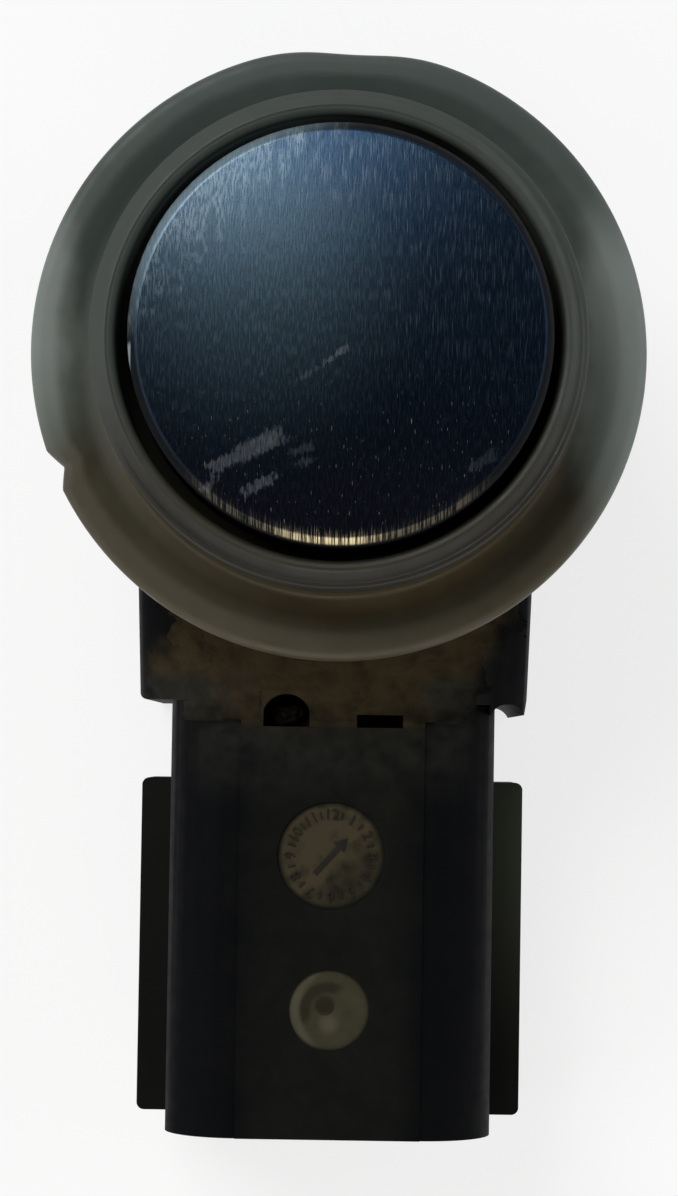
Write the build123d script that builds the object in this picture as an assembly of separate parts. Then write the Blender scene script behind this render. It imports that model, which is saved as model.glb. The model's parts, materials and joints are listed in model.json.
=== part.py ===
from build123d import *
from math import cos, radians, sin, sqrt, tan
import os

# Ultrasonic parking sensor, lying on its flat back. The membrane looks along +Z, the connector
# opens towards -Y, and the origin is where the axis of the membrane meets the rear plane.
# All sizes are millimetres.

# Heights above the rear plane
face_height = 24.0              # outer face of the membrane
head_height = 17.0              # rim of the round head, under the flange of the ring
shelf_height = 12.0             # shelf in the head that carries the transducer
shelf_thickness = 1.6
board_ledge_height = 4.4        # ledge that the circuit board is pushed up against
cover_thickness = 1.4

# Transducer cup, one turned aluminium piece with a thin membrane at its front
membrane_radius = 7.75
membrane_thickness = 0.9
membrane_edge_bevel = 0.3
cup_wall = 1.15
cup_foot_width = 0.95           # the foot stands out this far from the cup
cup_foot_thickness = 1.2
membrane_pocket_length = 12.4   # long pocket behind the membrane, which shapes the beam
membrane_pocket_width = 8.2
membrane_pocket_depth = 2.3     # down to the rear of the solid ring of the cup
carrier_seat_depth = 3.0        # inner step for the contact carrier, seen from the foot
carrier_seat_width = 0.45

# Parts inside the cup
piezo_radius = 3.5
piezo_thickness = 0.4
damping_thickness = 1.9
damping_clearance = 0.15
carrier_thickness = 2.0
carrier_clearance = 0.05
carrier_rim_width = 0.8
carrier_recess = 0.5
contact_pin_radius = 0.35
contact_pin_pitch = 2.54
contact_pin_clearance = 0.03
contact_pin_top = 1.2           # free length above the carrier
wire_radius = 0.17
wire_bend_radius = 0.45
wire_joint_drop = 0.35          # the wires are soldered on this far below the top of a pin
wire_hole_clearance = 0.3
signal_wire_offset = 2.6        # where the signal wire meets the piezo disc
ground_wire_inset = 1.3         # where the ground wire meets the cup, from its bore

# Silicone decoupling ring
ring_grip_clearance = 0.05      # between the cup and the part of the ring that holds it
ring_sleeve_wall = 1.5
ring_bore_clearance = 0.1       # between the sleeve and the bore of the head
collar_setback = 0.8            # crest of the collar below the membrane face
collar_relief = 0.58            # open gap round the front of the cup
collar_relief_depth = 2.6
collar_wall = 0.93
collar_crest_bevel = 0.15
crest_band_width = 0.56         # flat top of the collar, next to the cup
collar_groove_width = 0.17      # groove between the flat top and the outer lip
collar_groove_depth = 0.1       # floor of the groove below the outer lip
collar_lip_drop = 0.5           # outer lip below the crest
collar_lip_bevel = 0.1
collar_foot_bevel = 0.5
flange_thickness = 1.35         # at the valley of the dished flange
flange_bead_height = 0.35       # the rim stands above the valley
flange_overhang = 0.5           # past the round wall of the head
rim_top_round = 0.8
rim_bottom_bevel = 0.3
nick_angle = 203.8              # deepest point of a nick in the rim, counted from +X
nick_depth = 0.42
nick_lead_angle = 4.4           # gentle side of the nick
nick_return_angle = 3.0         # steep side of the nick

# Support washer between the shelf and the cup
washer_thickness = 0.4
washer_width = 1.9
washer_clearance = 0.15

# Housing walls
head_wall = 1.9                 # round the bore of the ring
head_flat_depth = 0.8           # each side flat cuts this far into the round head
rebate_inset = 0.8              # wall that is left outside the rear cover
pocket_inset = 1.3              # wall that is left outside the circuit board
bay_inset = 2.1                 # wall that is left outside the component bay
shelf_opening_radius = 6.0
pocket_corner_round = 0.6

# Neck, wings and slope between the head and the connector
wing_half_width = 7.7
wing_reach = 13.3               # end of the wings, measured from the axis
wing_edge_round = 1.1
wing_corner_round = 0.3
neck_drop = 1.0                 # the neck stays this far below the rim of the head
slope_reach = 14.3              # foot of the slope, measured from the axis
slope_angle = 31.5
barb_drop = 0.4                 # the right wing ends in a barb that hangs this far down
barb_taper = 0.1                # the tip stands this far inside the flank of the wing
barb_hollow = 0.42              # height of the arch between the barb and the shroud

# Connector shroud
shroud_reach = 30.6             # mouth of the socket, measured from the axis
shroud_half_width = 6.55
shroud_height = 13.0            # face of the front pad
shroud_shoulder_round = 2.9
shroud_heel_round = 0.9
pad_half_width = 3.66
pad_relief = 0.12               # the front pad stands above the shoulders
rail_width = 1.31
rail_rear = 3.0
rail_front = 7.5
rail_setback = 0.5              # the rails end short of the mouth
rail_corner_round = 0.3
notch_length = 3.15             # gap between a wing and its rail

# Socket inside the shroud
socket_side_wall = 1.4
socket_front_wall = 1.8
socket_rear_wall = 1.7
socket_corner_round = 1.2
socket_depth = 13.6
socket_lead_in = 0.35
bulkhead_thickness = 1.8
key_groove_width = 1.6
key_groove_depth = 0.5
latch_window_width = 3.4
latch_window_length = 2.4
latch_window_setback = 3.0

# Marks and pockets moulded into the front
dial_radius = 2.15
dial_recess = 0.12
dial_setback = 11.2             # from the mouth of the socket
gate_mark_radius = 1.62
gate_mark_recess = 0.15
gate_mark_setback = 5.1
gate_nub_radius = 0.35
gate_nub_height = 0.1
gate_nub_drift = 0.2             # the nub stands off the middle, to the left and up
d_pocket_width = 1.83
d_pocket_length = 1.3
d_pocket_offset = 1.86
d_pocket_floor = 1.4            # below the face of the front pad

# Circuit board and what stands on it
board_thickness = 1.0
board_clearance = 0.15
board_hole_clearance = 0.15
pin_tail = 0.5                  # pins pass this far through the board
cover_clearance = 0.1
cover_post_radius = 0.9
cover_post_x = 6.2
cover_post_y = 4.6
part_margin = 0.35              # from parts on the board to the wall of the bay
transformer_radius = 2.9
core_base_thickness = 0.6
core_post_radius = 0.85
bobbin_height = 4.2
bobbin_flange = 0.45
bobbin_flange_radius = 2.7
bobbin_hub_radius = 1.35
bobbin_fit = 0.08
winding_radius = 2.35
winding_clearance = 0.05
core_post_projection = 0.2
chip_size = 4.8
chip_height = 0.9
chip_shift = -1.6
chip_mark_radius = 0.3
chip_mark_inset = 0.75
chip_mark_depth = 0.1
tank_length = 3.2
tank_width = 2.5
tank_height = 2.0
tank_shift = 1.6
diode_length = 4.2
diode_width = 2.6
diode_height = 2.1
diode_setback = 7.4
small_capacitor = (2.0, 1.25, 1.2)
small_resistor = (1.6, 0.8, 0.45)
small_part_pitch = 2.0
small_part_count = 3
end_cap_length = 0.35
end_cap_proud = 0.04

# Connector terminals
terminal_size = 0.64
terminal_pitch = 2.54
terminal_clearance = 0.03
terminal_setback = 5.8          # tips lie this far inside the mouth
terminal_bend_radius = 0.9
terminal_leg_setback = 1.9      # legs stand this far inside the end of the bay
terminal_tip_chamfer = 0.18

# Values worked out from the sizes above
sleeve_inner_radius = membrane_radius + ring_grip_clearance
sleeve_outer_radius = sleeve_inner_radius + ring_sleeve_wall
bore_radius = sleeve_outer_radius + ring_bore_clearance
head_radius = bore_radius + head_wall
head_flat_half_width = head_radius - head_flat_depth
rim_radius = head_radius + flange_overhang
collar_inner_radius = membrane_radius + collar_relief
collar_outer_radius = collar_inner_radius + collar_wall
crest_height = face_height - collar_setback
lip_height = crest_height - collar_lip_drop
foot_height = shelf_height + washer_thickness
foot_top = foot_height + cup_foot_thickness
cup_foot_radius = membrane_radius + cup_foot_width
cup_bore_radius = membrane_radius - cup_wall
carrier_bore_radius = cup_bore_radius + carrier_seat_width
membrane_rear = face_height - membrane_thickness
cup_ring_height = membrane_rear - membrane_pocket_depth
carrier_seat_height = foot_height + carrier_seat_depth
piezo_rear = membrane_rear - piezo_thickness
damping_rear = piezo_rear - damping_thickness
contact_pin_x = contact_pin_pitch / 2
contact_pin_top_height = carrier_seat_height + contact_pin_top
wire_joint_height = contact_pin_top_height - wire_joint_drop
board_bottom = board_ledge_height - board_thickness
pin_tail_height = board_bottom - pin_tail
bay_roof = shelf_height - shelf_thickness
bay_radius = head_radius - bay_inset
bay_half_width = head_flat_half_width - bay_inset
socket_floor = shroud_reach - socket_depth
bay_end = socket_floor - bulkhead_thickness
socket_half_width = shroud_half_width - socket_side_wall
socket_top = shroud_height - pad_relief - socket_front_wall
terminal_height = (socket_rear_wall + socket_top) / 2
terminal_leg = bay_end - terminal_leg_setback
terminal_tip = shroud_reach - terminal_setback
terminal_places = [-terminal_pitch, 0.0, terminal_pitch]
transformer_y = bay_radius - part_margin - transformer_radius
chip_x = bay_half_width - part_margin - chip_size / 2


def disc(radius, low, high, x=0.0, y=0.0):
    """Upright cylinder between two heights."""
    return Pos(x, y, low) * extrude(Circle(radius), high - low)


def block(length, width, low, high, x=0.0, y=0.0):
    """Upright block between two heights, centred on x and y."""
    return Pos(x, y, low) * extrude(Rectangle(length, width), high - low)


def round_section(points):
    """Solid turned about the Z axis from a closed outline of radius and height."""
    outline = Plane.XZ * make_face(Polyline(*points, close=True))
    return revolve(outline, Axis.Z)


def shell_outline(inset):
    """Keyhole outline of the rear of the housing, drawn the given distance inside its outer walls:
    a round head with two flats, and a neck that ends at the bulkhead of the socket."""
    radius = head_radius - inset
    end = bay_end + bay_inset - inset
    head = Circle(radius) & Rectangle(2 * (head_flat_half_width - inset), 2 * radius)
    neck = Pos(0, -end / 2) * Rectangle(2 * (shroud_half_width - inset), end)
    corners = neck.vertices().group_by(Axis.Y)[0]
    return head + fillet(corners, pocket_corner_round)


def shroud_section():
    """Section of the connector shroud: soft shoulders in front, a raised flat pad between them."""
    body_height = shroud_height - pad_relief
    body = Pos(0, body_height / 2) * Rectangle(2 * shroud_half_width, body_height)
    body = fillet(body.vertices().group_by(Axis.Y)[-1], shroud_shoulder_round)
    body = fillet(body.vertices().group_by(Axis.Y)[0], shroud_heel_round)
    pad = Pos(0, shroud_height / 2) * Rectangle(2 * pad_half_width, shroud_height)
    return body + pad


def barb_plan():
    """Plan of the barb at the foot of the right wing, with an arch between it and the shroud."""
    root = -wing_reach + wing_corner_round
    tip = -wing_reach - barb_drop
    outer = wing_half_width - barb_taper
    inner = shroud_half_width - wing_corner_round
    return make_face([
        Line((inner, root), (wing_half_width, root)),
        Line((wing_half_width, root), (outer, tip)),
        ThreePointArc((outer, tip), ((outer + inner) / 2, tip + barb_hollow), (inner, tip)),
        Line((inner, tip), (inner, root)),
    ])


def neck_block():
    """Neck with its two wings, cut to a slope that rises from the shroud to the head."""
    start = bore_radius / 2
    top = shroud_height + (slope_reach - start) * tan(radians(slope_angle))
    side = Plane.YZ * make_face(Polyline(
        (-slope_reach, 0), (-slope_reach, shroud_height), (-start, top), (-start, 0), close=True))
    wings = extrude(side, wing_half_width, both=True)
    sloped = [edge for edge in wings.edges() if edge.tangent_at(0).Z * edge.tangent_at(0).Y != 0]
    wings = fillet(sloped, wing_edge_round)
    plan_length = wing_reach - start
    plan = Pos(0, -start - plan_length / 2) * Rectangle(2 * wing_half_width, plan_length)
    plan = fillet(plan.vertices().group_by(Axis.Y)[0], wing_corner_round) + barb_plan()
    middle = extrude(side, shroud_half_width - shroud_shoulder_round, both=True)
    limit = block(2 * rim_radius, 2 * slope_reach, 0, head_height - neck_drop, 0, -slope_reach)
    return ((wings & extrude(plan, top)) + middle) & limit


def rail(side):
    """Guide rail along one flank of the shroud, with rounded ends."""
    start = wing_reach + notch_length
    end = shroud_reach - rail_setback
    width = rail_width + rail_corner_round
    centre = side * (shroud_half_width + rail_width - width / 2)
    plan = Pos(centre, -(start + end) / 2) * RectangleRounded(width, end - start, rail_corner_round)
    return Pos(0, 0, rail_rear) * extrude(plan, rail_front - rail_rear)


def d_pocket(side):
    """Pocket at the foot of the slope, flat towards the connector and arched towards the head."""
    half = d_pocket_width / 2
    shoulder = slope_reach - d_pocket_length / 2
    outline = make_face([
        Line((-half, -slope_reach), (half, -slope_reach)),
        Line((half, -slope_reach), (half, -shoulder)),
        ThreePointArc((half, -shoulder), (0, -slope_reach + d_pocket_length), (-half, -shoulder)),
        Line((-half, -shoulder), (-half, -slope_reach)),
    ])
    low = shroud_height - d_pocket_floor
    return Pos(side * d_pocket_offset, 0, low) * extrude(outline, head_height - low)


def socket_space():
    """Space inside the shroud that takes the plug, with its key groove and lead-in."""
    width = 2 * socket_half_width
    height = socket_top - socket_rear_wall
    section = Pos(0, socket_rear_wall + height / 2) * RectangleRounded(width, height,
                                                                      socket_corner_round)
    groove = Pos(0, socket_top) * Rectangle(key_groove_width, 2 * key_groove_depth)
    space = Pos(0, -socket_floor, 0) * extrude(Plane.XZ * (section + groove), socket_depth)
    mouth = Pos(0, socket_rear_wall + height / 2) * RectangleRounded(
        width + 2 * socket_lead_in, height + 2 * socket_lead_in, socket_corner_round + socket_lead_in)
    funnel = extrude(Plane.XZ.offset(shroud_reach) * mouth, -socket_lead_in, taper=45)
    return space + funnel


def terminal_path(x):
    """Middle line of a terminal: from the tip into the bay, then down through the board."""
    return FilletPolyline(
        (x, -terminal_tip, terminal_height),
        (x, -terminal_leg, terminal_height),
        (x, -terminal_leg, pin_tail_height),
        radius=terminal_bend_radius,
    )


def housing():
    """One black moulding: head, neck, wings, rails and connector shroud, hollow from the rear."""
    head = extrude(Circle(head_radius) & Rectangle(2 * head_flat_half_width, 2 * head_radius),
                   head_height)
    shroud = extrude(Plane.XZ * shroud_section(), shroud_reach)
    body = head + shroud + neck_block() + rail(-1) + rail(1)
    body -= extrude(shell_outline(rebate_inset), cover_thickness)
    body -= extrude(shell_outline(pocket_inset), board_ledge_height)
    body -= extrude(shell_outline(bay_inset), bay_roof)
    body -= disc(shelf_opening_radius, bay_roof - shelf_thickness, shelf_height)
    body -= disc(bore_radius, shelf_height, face_height)
    body -= socket_space()
    slot = terminal_size + 2 * terminal_clearance
    for x in terminal_places:
        body -= Pos(x, -socket_floor, terminal_height) * Box(
            slot, 2 * bulkhead_thickness + slot, slot)
    window_y = -(shroud_reach - latch_window_setback - latch_window_length / 2)
    body -= block(latch_window_width, latch_window_length, 0, socket_rear_wall + socket_corner_round,
                  0, window_y)
    body -= d_pocket(-1) + d_pocket(1)
    dial_y = -(shroud_reach - dial_setback)
    gate_y = -(shroud_reach - gate_mark_setback)
    body -= disc(dial_radius, shroud_height - dial_recess, head_height, 0, dial_y)
    body -= disc(gate_mark_radius, shroud_height - gate_mark_recess, head_height, 0, gate_y)
    floor = shroud_height - gate_mark_recess
    body += disc(gate_nub_radius, floor, floor + gate_nub_height, -gate_nub_drift,
                 gate_y + gate_nub_drift)
    return body


def rear_cover():
    """Flush cover over the rear opening, with posts that hold the circuit board on its ledge."""
    cover = extrude(shell_outline(rebate_inset + cover_clearance), cover_thickness)
    for x in (-cover_post_x, cover_post_x):
        for y in (-cover_post_y, cover_post_y):
            cover += disc(cover_post_radius, cover_thickness / 2, board_bottom, x, y)
    return cover


def polar(radius, angle):
    """Point in plan at a radius and an angle in degrees from +X."""
    return (radius * cos(radians(angle)), radius * sin(radians(angle)))


def rim_nick():
    """Cutter for the nick in the rim: a gentle slope on one side and a steep one on the other."""
    outside = rim_radius + nick_depth
    lead = nick_angle - nick_lead_angle
    end = nick_angle + nick_return_angle
    outline = make_face(Polyline(
        polar(rim_radius - nick_depth, nick_angle), polar(rim_radius, lead), polar(outside, lead),
        polar(outside, end), polar(rim_radius, end), close=True))
    return Pos(0, 0, head_height) * extrude(outline, flange_thickness + flange_bead_height)


def decoupling_ring():
    """Silicone ring: sleeve in the head, dished flange over its rim, grooved collar round the cup."""
    valley = head_height + flange_thickness
    bead_top = valley + flange_bead_height
    relief_floor = crest_height - collar_relief_depth
    band_end = collar_inner_radius + crest_band_width
    lip_start = band_end + collar_groove_width
    groove_middle = (band_end + lip_start) / 2
    foot_end = collar_outer_radius + collar_foot_bevel
    rim_start = rim_radius - rim_top_round
    collar = Polyline(
        (sleeve_inner_radius, foot_top),
        (sleeve_inner_radius, relief_floor - collar_relief),
        (collar_inner_radius, relief_floor),
        (collar_inner_radius, crest_height - collar_crest_bevel),
        (collar_inner_radius + collar_crest_bevel, crest_height),
        (band_end, crest_height),
        (groove_middle, lip_height - collar_groove_depth),
        (lip_start, lip_height),
        (collar_outer_radius - collar_lip_bevel, lip_height),
        (collar_outer_radius, lip_height - collar_lip_bevel),
        (collar_outer_radius, valley + collar_foot_bevel),
        (foot_end, valley),
        (rim_start, bead_top))
    rim = RadiusArc((rim_start, bead_top), (rim_radius, bead_top - rim_top_round), rim_top_round)
    sleeve = Polyline(
        (rim_radius, bead_top - rim_top_round),
        (rim_radius, head_height + rim_bottom_bevel),
        (rim_radius - rim_bottom_bevel, head_height),
        (sleeve_outer_radius, head_height),
        (sleeve_outer_radius, foot_top),
        (sleeve_inner_radius, foot_top))
    profile = Plane.XZ * make_face([collar, rim, sleeve])
    return revolve(profile, Axis.Z) - rim_nick()


def transducer_cup():
    """Aluminium cup: thin membrane in front, long pocket behind it, foot flange at the rear."""
    cup = round_section([
        (0, face_height), (membrane_radius, face_height), (membrane_radius, foot_top),
        (cup_foot_radius, foot_top), (cup_foot_radius, foot_height), (carrier_bore_radius, foot_height),
        (carrier_bore_radius, carrier_seat_height), (cup_bore_radius, carrier_seat_height),
        (cup_bore_radius, cup_ring_height), (0, cup_ring_height)])
    cup = chamfer(cup.edges().group_by(Axis.Z)[-1], membrane_edge_bevel)
    pocket = SlotOverall(membrane_pocket_length, membrane_pocket_width)
    return cup - Pos(0, 0, cup_ring_height) * extrude(pocket, membrane_rear - cup_ring_height)


def piezo_disc():
    """Piezo ceramic disc glued behind the membrane."""
    return disc(piezo_radius, piezo_rear, membrane_rear)


def damping_pad():
    """Soft pad in the pocket behind the piezo disc, with a hole for the signal wire."""
    outline = SlotOverall(membrane_pocket_length - 2 * damping_clearance,
                          membrane_pocket_width - 2 * damping_clearance)
    pad = Pos(0, 0, damping_rear) * extrude(outline, damping_thickness)
    hole = disc(wire_radius + wire_hole_clearance, damping_rear, piezo_rear, signal_wire_offset)
    return pad - hole


def contact_carrier():
    """Plastic disc that closes the cup from behind and holds the two contact pins."""
    radius = carrier_bore_radius - carrier_clearance
    low = carrier_seat_height - carrier_thickness
    carrier = disc(radius, low, carrier_seat_height)
    carrier -= disc(radius - carrier_rim_width, low, low + carrier_recess)
    for x in (-contact_pin_x, contact_pin_x):
        carrier -= disc(contact_pin_radius + contact_pin_clearance, low, carrier_seat_height, x)
    return carrier


def contact_pin(side):
    """Straight pin from the carrier through the shelf to the circuit board."""
    return disc(contact_pin_radius, pin_tail_height, contact_pin_top_height, side * contact_pin_x)


def wire(start, corner, end):
    """Thin round wire that leaves the side of a contact pin and turns up to what it feeds."""
    path = FilletPolyline(start, corner, end, radius=wire_bend_radius)
    return sweep(Plane(origin=path @ 0, z_dir=path % 0) * Circle(wire_radius), path)


def lead_wire_signal():
    """Wire from a contact pin to the rear of the piezo disc."""
    return wire((contact_pin_x + contact_pin_radius, 0, wire_joint_height),
                (signal_wire_offset, 0, wire_joint_height), (signal_wire_offset, 0, piezo_rear))


def lead_wire_ground():
    """Wire from the other contact pin to the solid ring of the cup."""
    end = cup_bore_radius - ground_wire_inset
    return wire((-contact_pin_x, contact_pin_radius, wire_joint_height),
                (-contact_pin_x, end, wire_joint_height), (-contact_pin_x, end, cup_ring_height))


def support_washer():
    """Silicone washer between the shelf of the head and the foot of the cup."""
    outer = bore_radius - washer_clearance
    return (disc(outer, shelf_height, foot_height)
            - disc(outer - washer_width, shelf_height, foot_height))


def circuit_board():
    """Keyhole board pushed up against its ledge, drilled for the terminals and contact pins."""
    board = Pos(0, 0, board_bottom) * extrude(shell_outline(pocket_inset + board_clearance),
                                              board_thickness)
    for x in terminal_places:
        board -= disc(terminal_size / sqrt(2) + board_hole_clearance, board_bottom,
                      board_ledge_height, x, -terminal_leg)
    for x in (-contact_pin_x, contact_pin_x):
        board -= disc(contact_pin_radius + board_hole_clearance, board_bottom,
                      board_ledge_height, x)
    return board


def transformer_core():
    """Ferrite core: round base on the board and a post through the bobbin."""
    base_top = board_ledge_height + core_base_thickness
    top = base_top + bobbin_height + core_post_projection
    return (disc(transformer_radius, board_ledge_height, base_top, 0, transformer_y)
            + disc(core_post_radius, base_top - core_base_thickness / 2, top, 0, transformer_y))


def transformer_bobbin():
    """Plastic spool on the post of the core."""
    low = board_ledge_height + core_base_thickness
    high = low + bobbin_height
    spool = round_section([
        (core_post_radius + bobbin_fit, low), (bobbin_flange_radius, low),
        (bobbin_flange_radius, low + bobbin_flange), (bobbin_hub_radius, low + bobbin_flange),
        (bobbin_hub_radius, high - bobbin_flange), (bobbin_flange_radius, high - bobbin_flange),
        (bobbin_flange_radius, high), (core_post_radius + bobbin_fit, high)])
    return Pos(0, transformer_y, 0) * spool


def transformer_winding():
    """Copper winding between the flanges of the bobbin."""
    low = board_ledge_height + core_base_thickness + bobbin_flange
    high = low + bobbin_height - 2 * bobbin_flange
    inner = bobbin_hub_radius + winding_clearance
    return (disc(winding_radius, low, high, 0, transformer_y)
            - disc(inner, low, high, 0, transformer_y))


def control_chip():
    """Flat square package with a round mark at its first corner."""
    top = board_ledge_height + chip_height
    chip = block(chip_size, chip_size, board_ledge_height, top, chip_x, chip_shift)
    corner = chip_size / 2 - chip_mark_inset
    return chip - disc(chip_mark_radius, top - chip_mark_depth, top,
                       chip_x - corner, chip_shift + corner)


def chip_part(size, x, y, turned=False):
    """Surface-mounted part: a body between two slightly larger metal end caps."""
    length, width, height = size
    low = board_ledge_height
    body = block(length - end_cap_length, width - 2 * end_cap_proud, low + end_cap_proud,
                 low + height - end_cap_proud)
    for side in (-1, 1):
        body += block(end_cap_length, width, low, low + height,
                      side * (length - end_cap_length) / 2)
    return Pos(x, y, 0) * Rot(0, 0, 90 if turned else 0) * body


def small_parts(size, first_x, y):
    """Row of like parts across the board, as separate solids."""
    return Compound(children=[chip_part(size, first_x + index * small_part_pitch, y, True)
                              for index in range(small_part_count)])


def connector_terminal(x):
    """Square terminal: tapered tip in the socket, bend in the bay and a leg through the board."""
    path = terminal_path(x)
    start = Plane(origin=path @ 0, x_dir=(1, 0, 0), z_dir=path % 0)
    terminal = sweep(start * Rectangle(terminal_size, terminal_size), path)
    tip = terminal.faces().sort_by(Axis.Y)[0]
    return chamfer(tip.edges(), terminal_tip_chamfer)


def main():
    capacitor_y = -small_capacitor[0] / 2 - part_margin
    row_x = -bay_half_width + part_margin + small_capacitor[1] / 2
    resistor_y = capacitor_y - (small_capacitor[0] + small_resistor[0]) / 2 - part_margin
    tank_x = -bay_half_width + part_margin + tank_length / 2
    tank = (tank_length, tank_width, tank_height)
    diode = (diode_length, diode_width, diode_height)
    pieces = {
        "housing": housing(),
        "rear_cover": rear_cover(),
        "decoupling_ring": decoupling_ring(),
        "support_washer": support_washer(),
        "transducer_cup": transducer_cup(),
        "piezo_disc": piezo_disc(),
        "damping_pad": damping_pad(),
        "contact_carrier": contact_carrier(),
        "contact_pin_signal": contact_pin(1),
        "contact_pin_ground": contact_pin(-1),
        "lead_wire_signal": lead_wire_signal(),
        "lead_wire_ground": lead_wire_ground(),
        "circuit_board": circuit_board(),
        "control_chip": control_chip(),
        "transformer_core": transformer_core(),
        "transformer_bobbin": transformer_bobbin(),
        "transformer_winding": transformer_winding(),
        "ceramic_capacitors": small_parts(small_capacitor, row_x, capacitor_y),
        "chip_resistors": small_parts(small_resistor, row_x, resistor_y),
        "tank_capacitor": chip_part(tank, tank_x, tank_shift),
        "protection_diode": chip_part(diode, 0, -diode_setback),
        "terminal_supply": connector_terminal(terminal_places[0]),
        "terminal_signal": connector_terminal(terminal_places[1]),
        "terminal_ground": connector_terminal(terminal_places[2]),
    }
    os.makedirs("parts", exist_ok=True)
    for name, piece in pieces.items():
        piece.label = name
        export_step(piece, f"parts/{name}.step")


main()
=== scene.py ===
"""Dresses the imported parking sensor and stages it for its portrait.

The sensor lies on its rear face on a pale floor, and the camera looks down on the membrane. Each
class holds one sub-assembly, one finish or one part of the studio. Fields are in millimetres and
meshes are in metres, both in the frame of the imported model.
"""

import json
import logging
from collections.abc import Callable, Iterator, Sequence
from contextlib import contextmanager
from dataclasses import dataclass, field
from enum import Enum
from math import atan2, cos, degrees, exp, hypot, pi, radians, sin, tan, tau

import bmesh
import bpy
from mathutils import Matrix, Vector, noise

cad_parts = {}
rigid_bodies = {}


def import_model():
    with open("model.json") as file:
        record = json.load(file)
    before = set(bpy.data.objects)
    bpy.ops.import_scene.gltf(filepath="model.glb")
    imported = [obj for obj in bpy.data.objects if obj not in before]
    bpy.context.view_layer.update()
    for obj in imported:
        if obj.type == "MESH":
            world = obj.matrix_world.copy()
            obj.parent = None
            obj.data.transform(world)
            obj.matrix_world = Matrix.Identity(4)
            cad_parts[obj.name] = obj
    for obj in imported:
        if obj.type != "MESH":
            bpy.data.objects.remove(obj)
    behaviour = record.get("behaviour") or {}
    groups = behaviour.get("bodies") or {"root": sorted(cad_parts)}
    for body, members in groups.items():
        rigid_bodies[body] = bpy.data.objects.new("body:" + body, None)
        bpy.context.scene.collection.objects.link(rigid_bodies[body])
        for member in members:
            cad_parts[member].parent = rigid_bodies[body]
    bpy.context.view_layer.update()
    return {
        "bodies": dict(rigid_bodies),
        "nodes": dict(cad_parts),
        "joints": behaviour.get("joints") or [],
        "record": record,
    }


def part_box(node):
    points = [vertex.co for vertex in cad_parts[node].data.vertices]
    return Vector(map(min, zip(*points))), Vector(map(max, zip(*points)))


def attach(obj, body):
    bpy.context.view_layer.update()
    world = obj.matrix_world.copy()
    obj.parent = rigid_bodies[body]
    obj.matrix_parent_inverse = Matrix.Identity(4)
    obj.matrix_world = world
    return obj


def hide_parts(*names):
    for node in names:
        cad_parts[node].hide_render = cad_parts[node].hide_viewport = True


MM = 0.001
SLANT = 0.7071           # turns a difference of X and Y into a distance across the diagonal
WELD = 0.002             # points of a solid that lie closer than this are one point
FLAT_ANGLE = 0.5         # faces that differ by less, in degrees, are one face
SHARP_ANGLE = 28.0       # edges sharper than this, in degrees, are rounded
LOG = logging.getLogger("sensor")

Colour = tuple[float, float, float, float]
Triple = tuple[float, float, float]
Range = tuple[float, float]
Place = tuple[float, float]
Socket = bpy.types.NodeSocket


class Slot(Enum):
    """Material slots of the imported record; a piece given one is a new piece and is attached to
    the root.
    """

    HOUSING = "housing_plastic"
    RING = "ring_silicone"
    CUP = "painted_cup"
    WINDING = "copper_winding"


def srgb(red: float, green: float, blue: float) -> Colour:
    """Turns a colour as seen on a screen into the linear colour that a shader takes.

    Args:
        red: Red, from 0 to 255.
        green: Green, from 0 to 255.
        blue: Blue, from 0 to 255.

    Returns:
        The linear colour with full opacity.
    """
    channels = []
    for value in (red, green, blue):
        share = value / 255
        channels.append(share / 12.92 if share <= 0.04045 else ((share + 0.055) / 1.055) ** 2.4)
    return (channels[0], channels[1], channels[2], 1.0)


def smooth_step(value: float, low: float, high: float) -> float:
    """Rises softly from 0 at low to 1 at high."""
    share = min(max((value - low) / (high - low), 0.0), 1.0)
    return share * share * (3 - 2 * share)


# Shader and geometry trees


class Tree:
    """Node tree of any kind, with short calls that add nodes and link them."""

    def __init__(self, tree: bpy.types.NodeTree) -> None:
        """Takes over a tree and empties it."""
        self.tree = tree
        self.tree.nodes.clear()

    def feed(self, socket: Socket, value: object) -> None:
        """Links an input to what comes before it, or gives it a constant.

        Args:
            socket: Input of a node.
            value: Value, socket or constant that it takes.
        """
        source = value.socket if isinstance(value, Value) else value
        if isinstance(source, bpy.types.NodeSocket):
            self.tree.links.new(source, socket)
        else:
            socket.default_value = source

    def add(self, kind: str, inputs: dict[str | int, object] | None = None,
            **settings: object) -> bpy.types.Node:
        """Adds a node.

        Args:
            kind: Type of the node.
            inputs: What its inputs take, by their names or numbers.
            **settings: Options of the node.

        Returns:
            The node.
        """
        node = self.tree.nodes.new(kind)
        for key, setting in settings.items():
            setattr(node, key, setting)
        for key, value in (inputs or {}).items():
            self.feed(node.inputs[key], value)
        return node

    def math(self, operation: str, first: object, second: object = 0.0) -> "Value":
        """Works out one sum of two numbers."""
        node = self.add("ShaderNodeMath", {0: first, 1: second}, operation=operation)
        return Value(self, node.outputs[0])

    def seen_directly(self) -> "Value":
        """Tells rays from the camera, a glossy surface or a clear one from all others.

        Returns:
            A value that is 1 for those rays.
        """
        path = self.add("ShaderNodeLightPath").outputs
        return Value(self, path["Is Camera Ray"]) | path["Is Glossy Ray"] \
            | path["Is Transmission Ray"]


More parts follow.
